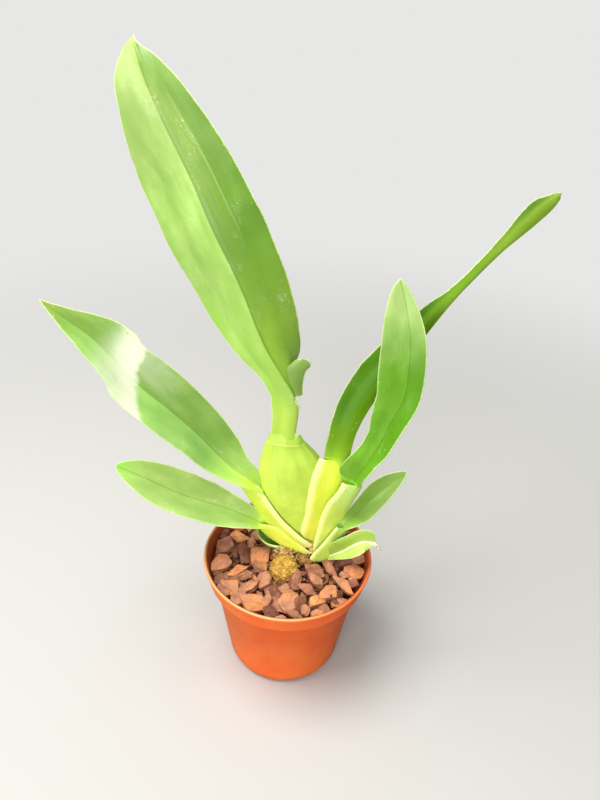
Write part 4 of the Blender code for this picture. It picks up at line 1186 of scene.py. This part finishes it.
# A blade has its midrib's points, half widths and fold angles (degrees from flat to folded shut) as knots of
# (share of its length, value), the directions that its upper side faces, the share that its tip tapers over,
# the height of the waves along its margins, and its look, whose two half greens hold painted light and shade.
BLADES = {
    "leaf_top": {
        "spine": ((0.5, 7, 119), (0.6, 6, 130), (0.8, 4.5, 142.8), (-5.3, 1.5, 157.3), (-13.6, -0.5, 174.9),
                  (-22.2, -1, 197.8), (-32.2, 0.5, 218.4), (-39.8, 4.5, 234.4), (-48.3, 8, 250.2),
                  (-54, 11, 261.7), (-57.6, 15, 270), (-60, 20, 275.7)),
        "left": ((0, 1), (0.185, 1), (0.2, 15.5), (0.3, 15.5), (0.4, 16.8), (0.6, 18.2), (0.75, 15.4),
                 (0.85, 12.6), (0.9, 11.6), (0.955, 9), (0.985, 2), (1, 0.5)),
        "right": ((0, 10.5), (0.16, 11), (0.19, 8.8), (0.24, 9.6), (0.3, 14.5), (0.35, 19), (0.4, 23.6),
                  (0.46, 26), (0.6, 26), (0.75, 24.2), (0.8, 21.4), (0.85, 18.7), (0.9, 17.4), (0.95, 19.4),
                  (1, 22)),
        "left_fold": ((0, 20), (0.14, 25), (0.2, 55), (0.35, 70), (0.6, 68), (1, 76)),
        "right_fold": ((0, 22), (0.14, 28), (0.3, 52), (0.5, 62), (1, 74)),
        "face": ((-0.9, 0.42, 0), (-0.88, 0.46, 0), (-0.3, 0.95, 0), (0.05, 1, 0), (0.1, 1, 0), (0.1, 1, 0),
                 (0.05, 1, 0), (0, 1, 0)),
        "tip": 0.2, "wave": 0.5,
        "look": {"Blade": "6B972D", "Right Half": "AFD871", "Tip": "AAC477", "Tip Start": 0.6,
                 "Tip Left": 0.35, "Base": "B8EA54", "Base End": 0.62, "Base Right": 0.5, "Foot": "CDEE56",
                 "Foot End": 0.2, "Midrib": 1.0, "Rib Width": 0.6, "Rib From": 0.15, "Veins": 0.3,
                 "Scuffs": 1.0, "Crease": -0.45, "Crease From": 0.55, "Crease To": 0.92, "Under Tint": 0.0},
    },
    "leaf_left_upper": {
        "spine": ((-13, 6, 95), (-19.8, 5.5, 101.3), (-27, 6, 107), (-34.5, 6.5, 114.5),
                  (-42.5, 5.5, 125.5), (-54.5, 3, 140), (-65.5, 1, 152.5), (-79, 0, 170.7),
                  (-88.3, -1, 179.8), (-98, -1, 188)),
        "left": ((0, 3), (0.04, 5), (0.1, 8), (0.2, 11.4), (0.3, 13.4), (0.5, 14.2), (0.6, 13.4),
                 (0.672, 13), (0.68, 10.8), (0.75, 10), (0.82, 10.3), (0.9, 8.2), (1, 5)),
        "right": ((0, 5), (0.1, 7), (0.2, 11.6), (0.35, 13.4), (0.5, 14.4), (0.6, 14.4), (0.67, 12.8),
                  (0.705, 12.8), (0.73, 14.3), (0.79, 13.6), (0.85, 10.8), (0.93, 7), (1, 3)),
        "fold": ((0, 48), (0.15, 58), (0.4, 66), (0.7, 72), (1, 78)),
        "face": ((0.5, -0.6, 0.6), (0.45, -0.62, 0.6), (0.42, -0.62, 0.62), (0.42, -0.62, 0.62)),
        "tip": 0.4, "wave": 0.4,
        "look": {"Blade": "A9D975", "Right Half": "87AE52", "Tip": "86A444", "Tip Start": 0.78,
                 "Base": "D8FD73", "Base End": 0.28, "Base Right": 0.2, "Foot": "D2F05C", "Foot End": 0.1,
                 "Rim From": 0.08, "Scuffs": 0.5, "Crease": 0.25, "Crease From": 0.05, "Crease To": 0.22,
                 "Bleach": 1.0, "Bleach From": 0.6, "Bleach To": 0.77, "Bleach Lean": 0.0045},
    },
    "leaf_left_lower": {
        "spine": ((-11, 5.5, 73.5), (-18.8, 5, 78.5), (-25, 5, 81.5), (-33, 5, 84.5), (-47, 3, 91),
                  (-57, 2, 96.5), (-67, 1, 103), (-78, 1, 108.5)),
        "left": ((0, 3), (0.1, 6.4), (0.2, 9.2), (0.3, 10.4), (0.6, 10.4), (0.8, 9.6), (1, 8)),
        "right": ((0, 4), (0.1, 5), (0.2, 6.5), (0.3, 8.2), (0.4, 10), (0.55, 10.9), (0.7, 10.2), (1, 8.6)),
        "fold": ((0, 52), (0.2, 62), (0.6, 72), (1, 80)),
        "face": ((0.4, -0.5, 0.7), (0.25, -0.66, 0.7), (0.28, -0.62, 0.72), (0.3, -0.6, 0.74)),
        "tip": 0.34, "wave": 0.35,
        "look": {"Blade": "B1D476", "Right Half": "A7C768", "Tip": "8FCC4A", "Tip Start": 0.84,
                 "Base": "C9F06C", "Base End": 0.18, "Base Right": 0.5, "Foot": "D6F260", "Foot End": 0.08,
                 "Rim From": 0.06, "Scuffs": 1.3},
    },
    "leaf_right_back": {
        "spine": ((23.8, 7, 103), (24.6, 7.4, 117), (26.4, 7.5, 129.5), (31.5, 11, 140.8), (39.1, 14, 153),
                  (48.3, 17, 168), (57.5, 19, 183.5), (66.5, 20.5, 196.5), (76, 22, 208.3),
                  (86.5, 23.5, 219), (92.3, 24.5, 225.5), (94.8, 25, 231)),
        "left": ((0, 9), (0.3, 11), (0.6, 6), (0.7, 3), (0.8, 3), (0.9, 5), (1, 4)),
        "right": ((0, 10.6), (0.15, 10.8), (0.25, 13.2), (0.35, 14.6), (0.45, 12.2), (0.55, 8.5), (0.64, 4),
                  (0.7, 3.1), (0.78, 3.2), (0.85, 4.8), (0.9, 7.2), (0.95, 10), (1, 10)),
        "fold": ((0, 30), (1, 30)),
        "face": ((-0.87, 0.5, 0), (-0.87, 0.5, 0), (-0.8, 0.5, 0.3), (-0.75, 0.5, 0.43), (-0.6, 0.65, 0.45),
                 (-0.3, 0.85, 0.3), (-0.45, 0.75, 0.5), (-0.5, 0.75, 0.5)),
        "tip": 0.16, "wave": 0.25,
        "look": {"Blade": "5B8B15", "Right Half": "518312", "Tip": "5C8229", "Tip Start": 0.4,
                 "Base": "9CCB34", "Base End": 0.22, "Foot": "C4E044", "Foot End": 0.085, "Midrib": 0.0,
                 "Rim From": 0.09, "Scuffs": 0.3, "Fold Light": 0.8, "Under Tint": 0.0, "Shine": 0.12},
    },
    "leaf_right_front": {
        "spine": ((27.2, 3.8, 101), (28.9, 2.2, 108.4), (31.9, -0.2, 117.6), (36, -0.7, 128),
                  (39.5, -2.3, 142), (43, -3.6, 155), (43, -4.5, 168.5), (41.8, -5, 181.5), (38.8, -5, 194),
                  (34.9, -5.5, 206)),
        "left": ((0, 3), (0.03, 6), (0.065, 8.8), (0.13, 8.6), (0.24, 7), (0.33, 7), (0.4, 9), (0.46, 10.6),
                 (0.57, 11.7), (0.73, 12.4), (0.84, 13), (1, 13)),
        "right": ((0, 2), (0.03, 2.8), (0.065, 4), (0.13, 4.4), (0.2, 5), (0.26, 6.3), (0.4, 6.8),
                  (0.8, 6.8), (1, 6)),
        "left_fold": ((0, 84), (0.08, 80), (0.2, 70), (0.4, 66), (0.6, 76), (1, 80)),
        "right_fold": ((0, 58), (0.4, 66), (0.6, 76), (1, 80)),
        "face": ((-0.4, -0.9, 0.2), (-0.45, -0.88, 0.25), (-0.25, -0.96, 0.2), (-0.1, -1, 0.2),
                 (0, -1, 0.2)),
        "tip": 0.4, "wave": 0.4,
        "look": {"Blade": "7AB92F", "Right Half": "64A01D", "Tip": "CCEC95", "Tip Start": 0.6,
                 "Base": "6FA82C", "Base End": 0.25, "Foot": "9CD04E", "Foot End": 0.05, "Rim From": 0.05,
                 "Scuffs": 0.6},
    },
    "leaf_right_low": {
        "spine": ((21.8, 2.6, 74), (26.8, 3.8, 80), (33, 9, 83), (42, 15, 89.5), (54, 20, 99)),
        "left": ((0, 2), (0.08, 3), (0.18, 3.4), (0.3, 4.2), (0.4, 4.9), (0.5, 5.6), (0.64, 6.4),
                 (0.8, 6.4), (1, 5)),
        "right": ((0, 1.6), (0.1, 2.4), (0.16, 4), (0.22, 6.2), (0.3, 7.3), (0.4, 7.4), (0.55, 7), (1, 5)),
        "fold": ((0, 60), (0.4, 62), (1, 75)),
        "right_fold": ((0, 72), (0.3, 82), (1, 82)),
        "face": ((-0.6, -0.6, 0.6), (-0.6, -0.6, 0.6), (-0.5, -0.6, 0.6)),
        "tip": 0.45, "wave": 0.3,
        "look": {"Blade": "739A30", "Right Half": "8CB24E", "Tip": "82AD43", "Tip Start": 0.8,
                 "Base": "94BE4C", "Base End": 0.55, "Foot": "A8D85E", "Foot End": 0.12, "Midrib": 0.3,
                 "Rim From": 0.1, "Scuffs": 0.5},
    },
    "bract_right": {
        "spine": ((17.4, 2.6, 57.4), (20.2, 0.5, 61.2), (22.6, -1.5, 64.6), (25.7, -3.2, 68.4),
                  (28.3, -4.4, 72), (31.2, -5, 75), (34.8, -5, 76.8), (39.8, -5, 76.2)),
        "left": ((0, 1), (0.25, 4.6), (0.4, 6.6), (0.55, 6.4), (0.7, 5.8), (0.85, 6.4), (1, 6.2)),
        "right": ((0, 1.5), (0.25, 2.6), (0.4, 3.6), (0.55, 5), (0.7, 5.4), (0.85, 4.6), (1, 2)),
        "fold": ((0, 60), (0.4, 72), (1, 76)),
        "face": ((-0.2, -0.85, 0.4), (-0.2, -0.85, 0.4)),
        "tip": 0.12, "wave": 0.3,
        "look": {"Blade": "A4C450", "Right Half": "BEDA6C", "Tip": "B4D468", "Tip Start": 0.75,
                 "Base": "C0DC6A", "Base End": 0.3, "Midrib": 0.9, "Rib Pale": 0.9, "Rib Width": 0.8,
                 "Rim Strength": 0.6, "Scuffs": 0.2},
    },
}

# A sheath has the points of its keel and of its front margin, and how far its margin's bead swells, if less.
SHEATHS = {
    "leaf_left_upper": {
        "keel": ((4, 8, 61), (-4, 8, 68), (-11, 8, 74.5), (-15.5, 8, 81.5), (-19.4, 7.8, 89),
                 (-23.7, 7.4, 97.4)),
        "margin": ((11.4, 0.8, 67.3), (8.7, 0.2, 70), (5.9, 0.2, 72.4), (3.2, 0.5, 74.9), (-2.6, 1.2, 80.8),
                   (-7.5, 2.2, 87.3), (-12, 4.1, 93.6), (-14.8, 4.8, 98.2)),
        "look": {"Blade": "E6F858", "Tip": "DCF65C", "Base": "EAE282", "Base End": 0.16, "Rim": 2.8},
    },
    "leaf_left_lower": {
        "keel": ((6.6, 3.6, 58.8), (-2, 7.4, 60.3), (-7.5, 8, 63.5), (-12, 7.5, 68), (-15.3, 6.8, 73)),
        "margin": ((11.4, 0.6, 62), (3.4, 1, 68.2), (-2.7, 1.4, 73.4), (-7, 1.8, 76.3), (-11.4, 2.8, 76.6),
                   (-15.6, 3.2, 75.6)),
        "swell": 0.1,
        "look": {"Blade": "E6F858", "Tip": "DAF45E", "Base": "EAE282", "Base End": 0.2, "Rim": 0.5},
    },
    "leaf_right_back": {
        "keel": ((13, 8, 60), (18, 8, 72), (21, 8, 86), (23, 8, 98), (24.3, 8, 112)),
        "margin": ((6.8, 3, 69), (5.4, 1.4, 76), (6.9, 0.9, 85.8), (7.2, 1, 92.3), (7.8, 1.5, 99.9),
                   (8.8, 2.6, 106.4), (10.2, 4.4, 111.6), (11.8, 6.4, 115)),
        "look": {"Blade": "F0FA54", "Right Half": "E6F450", "Tip": "D8F04C", "Base": "EAE282",
                 "Base End": 0.14, "Rim": 3.0},
    },
    "leaf_right_front": {
        "keel": ((16, 8, 59), (22, 8, 71), (26, 8, 83), (29, 6.4, 92.5), (31.8, 3.8, 102.6)),
        "margin": ((11.6, 2.4, 60), (12.2, 1.2, 69.6), (13, 0.6, 76.6), (14.1, 0.3, 85.3),
                   (16.2, 0.2, 93.4), (19.4, 0.2, 99.4), (21.2, 0.2, 103), (22.4, 0.6, 106.4)),
        "look": {"Blade": "ECFF72", "Right Half": "DEF862", "Tip": "D6FA8C", "Tip Start": 0.55,
                 "Base": "E4D87A", "Base End": 0.2, "Rim": 2.2},
    },
    "leaf_right_low": {
        "keel": ((14.8, -0.4, 57.4), (18.8, 1.6, 57.8), (20.6, 3, 60.7), (22.4, 4, 63.6), (24.2, 4.6, 66.4),
                 (26, 4, 70.8), (27.7, 3.2, 77.1)),
        "margin": ((12.8, -1, 58), (10.7, -1.6, 60.4), (11.6, -1.6, 63.2), (13.2, -1.6, 66.2),
                   (15.2, -1.4, 69.2), (18.8, -0.6, 75.2), (21.8, 0.2, 80.1)),
        "look": {"Blade": "C4E466", "Tip": "CCF27C", "Rim": 1.0},
    },
    "bract_front_left": {
        "keel": ((1, 8, 57.6), (-4.2, 7, 58.6), (-9.6, 6.5, 60.4), (-13.4, 6.5, 64.6), (-15, 6, 70.4)),
        "margin": ((1, 3, 61), (-4.4, 3.4, 62.4), (-9.6, 3.6, 63.6), (-13.8, 3.6, 67.6), (-15.2, 4, 72.4)),
        "look": {"Blade": "8CBF50", "Tip": "9CCB5E"},
    },
}
# The sheaths' wide pale rims are partly their own cream margins and partly a painted highlight along the
# ridge that swells beside them.
SHEATH_LOOK = {"Midrib": 0.0, "Scuffs": 0.15, "Under Tint": 0.0, "Rim Tint": "F6F8B4", "Rim": 1.2,
               "Rim Strength": 0.6}


def one_colour(look):
    """A look whose right half and base have the blade's colour, unless it says otherwise."""
    return {"Right Half": look["Blade"], "Base": look["Blade"]} | look


for seed, (name, blade) in enumerate(BLADES.items(), 1):
    piece = two_skins(name + "_blade", *blade_sheet(blade, seed), blade["look"])
    finished(piece, "bracts" if name.startswith("bract") else "leaves", *([] if name in SHEATHS else [name]))
for seed, (name, sheath) in enumerate(SHEATHS.items(), 11):
    look = one_colour(SHEATH_LOOK | sheath["look"])
    piece = two_skins(name + "_sheath", *sheath_sheet(sheath, seed), look)
    finished(piece, "bracts" if name.startswith("bract") else "leaves", name)


# ---------------------------------------------------------------------------------------------------------
# The torn half: the back half of the top leaf's stalk tore away. A flap of it curls out beside the fold, a
# tooth and a fibre of skin hang below the tear, and a stub of it is left standing on the bulb.

def patch_sheet(inner, outer, bulge, count=40):
    """A small sheet between two smooth lines, bulging towards the front between them."""
    shares = np.linspace(0, 1, count)
    inside, outside = smooth(inner, shares), smooth(outer, shares)
    width = np.linalg.norm(outside - inside, axis=1)
    run = np.concatenate([[0], np.cumsum(np.linalg.norm(np.diff(outside, axis=0), axis=1))])
    rows, places = [], []
    for across in np.linspace(0, 1, 14):
        row = inside + (outside - inside) * across
        row[:, 1] -= bulge * math.sin(math.pi * across)
        rows.append(row)
        rim = np.minimum(np.minimum((1 - across) * width, run), run[-1] - run)
        places.append(np.stack([2 + across * width, run, rim], 1))
    return np.array(rows), np.array(places), shares


# The flap's greyer green is painted shade; the stub takes brighter greens of its own.
TORN_LOOK = {"Blade": "8FB257", "Tip": "9DC060", "Midrib": 0.0, "Rim": 0.6, "Rim Strength": 0.8,
             "Rim Tint": "E6F0B4", "Scuffs": 0.2, "Under Tint": 0.0}
STUB_LOOK = one_colour(TORN_LOOK | {"Blade": "BFE45A", "Tip": "CDEB70"})

flap = two_skins("leaf_top_flap", *patch_sheet(
    ((-1.2, 4.2, 147.6), (-3, 3.8, 152), (-4.8, 3.4, 156), (-5.6, 3.4, 158.5), (-4.8, 3.6, 160.8),
     (-3.4, 4.2, 162.6), (-1.6, 5, 164.1), (-0.2, 5.6, 165)),
    ((2.7, 5.4, 148.2), (2.5, 5.4, 152.4), (2.9, 5.6, 156.8), (3.7, 6, 159.6), (5.1, 6.4, 161.2),
     (5.2, 6.4, 162.9), (3.7, 6.2, 164.5), (1.6, 5.9, 165.2)), 0.8), one_colour(TORN_LOOK), 0.6)
stub = two_skins("leaf_top_stub", *patch_sheet(
    ((0.2, 5.6, 121), (0.3, 5.7, 124), (0.4, 5.9, 127.8)),
    ((4.6, 7.4, 121), (4.4, 7.2, 123.6), (2.6, 6.8, 126.8)), 0.9), STUB_LOOK)
torn_skin = leaf_material("torn_skin", STUB_LOOK)
tooth = tube("leaf_top_tooth", ((-0.8, 3.7, 147.2), (0.8, 3.7, 144.3), (2.1, 4, 142.6), (1.7, 4.3, 141.4)),
             (0.35, 0.4, 0.28, 0.1), 10)
fibre = tube("leaf_top_fibre", ((1.3, 5.3, 148.4), (1.4, 5.4, 146.4), (1.1, 5.2, 144.4)),
             (0.1, 0.08, 0.04), 6)
for piece in (flap, stub, painted(tooth, torn_skin, 50), painted(fibre, torn_skin, 50)):
    finished(piece, "leaves")


# ---------------------------------------------------------------------------------------------------------
# The withered tip: the end of the right bract has dried to a thin, pale, curled thread of fibre, which hangs
# down over the pot's rim.

withered = tube("bract_right_tip", ((37.6, -4.7, 75.9), (39.6, -5, 75.9), (41.2, -5.1, 74.8), (42, -5.1, 73),
                (42.1, -5, 70.9)), (1.3, 1.1, 0.95, 0.75, 0.35), 12)
lumpy(withered, ((3, 0.2),), 8)
finished(painted(withered, woody("withered_tip", "E6E6BE", "FAF8DC", 700), 60), "bracts")


# ---------------------------------------------------------------------------------------------------------
# The studio: a plain pale floor that fades into a pale background, and two soft lamps: the key, high up on
# the left, and a lower one in front. The camera looks down on the pot, as from beside a table.

PALE = (0.80, 0.80, 0.79, 1)


def studio_floor():
    """A pale matt floor that keeps the plant's shadow and fades away from 16 to 62 cm out."""
    made, tree, shader, where = new_material("studio_floor", roughness=0.95, specular_ior_level=0.0)
    seen = add(tree, "ShaderNodeLightPath").outputs["Is Camera Ray"]
    colour = mix(tree, seen, (0.22, 0.22, 0.21, 1), (0.55, 0.55, 0.545, 1))
    tree.links.new(colour, shader.inputs["Base Color"])
    away = add(tree, "ShaderNodeVectorMath", {0: where}, operation="LENGTH").outputs["Value"]
    glow = add(tree, "ShaderNodeEmission", {"Color": PALE, "Strength": seen})
    faded = add(tree, "ShaderNodeMixShader", {0: ease(tree, away, 0.16, 0.62), 1: shader.outputs["BSDF"],
                2: glow.outputs["Emission"]})
    tree.links.new(faded.outputs["Shader"], tree.nodes["Material Output"].inputs["Surface"])
    return made


FAR = 9000  # how far the floor reaches
floor = new_object("floor", [(-FAR, -FAR, 0), (FAR, -FAR, 0), (FAR, FAR, 0), (-FAR, FAR, 0)], [],
                   [(0, 1, 2, 3)])
floor.data.materials.append(studio_floor())


def lamp(name, at, size, power):
    """A round, slightly warm lamp of so many watts, turned towards the middle of the plant."""
    light = bpy.data.lights.new(name, "AREA")
    light.shape = "DISK"
    light.size = size * MM
    light.energy = power
    light.color = (1, 0.98, 0.93)
    made = bpy.data.objects.new(name, light)
    made.location = Vector(at) * MM
    made.rotation_euler = (Vector((0, 0, 110)) - Vector(at)).to_track_quat("-Z", "Y").to_euler()
    bpy.context.scene.collection.objects.link(made)


lamp("key_lamp", (-270, -70, 840), 560, 8.2)
lamp("front_lamp", (-260, -860, 300), 620, 6.6)

world = bpy.data.worlds.new("studio")
bpy.context.scene.world = world
world.use_nodes = True
sky = world.node_tree
seen = add(sky, "ShaderNodeLightPath").outputs["Is Camera Ray"]
sky.links.new(mix(sky, seen, (0.44, 0.44, 0.42, 1), PALE), sky.nodes["Background"].inputs["Color"])

LENS_AT = Vector((1.7, -229.7, 297.6))
DOWN = math.radians(32.9)  # below the horizon
ROLL = math.radians(3.2)
forward = Vector((0, math.cos(DOWN), -math.sin(DOWN)))
up = Vector((0, math.sin(DOWN), math.cos(DOWN)))
level = Vector((1, 0, 0))
right = math.cos(ROLL) * level + math.sin(ROLL) * up
upright = -math.sin(ROLL) * level + math.cos(ROLL) * up
camera = bpy.data.objects.new("camera", bpy.data.cameras.new("camera"))
camera.data.lens = 30.2
camera.data.sensor_fit = "VERTICAL"
camera.data.sensor_height = 36
turned = Matrix((right, upright, -forward)).transposed().to_4x4()
camera.matrix_world = Matrix.Translation(LENS_AT * MM) @ turned
camera.data.clip_start = 0.01
bpy.context.scene.collection.objects.link(camera)
bpy.context.scene.camera = camera
bpy.context.scene.view_settings.view_transform = "Standard"
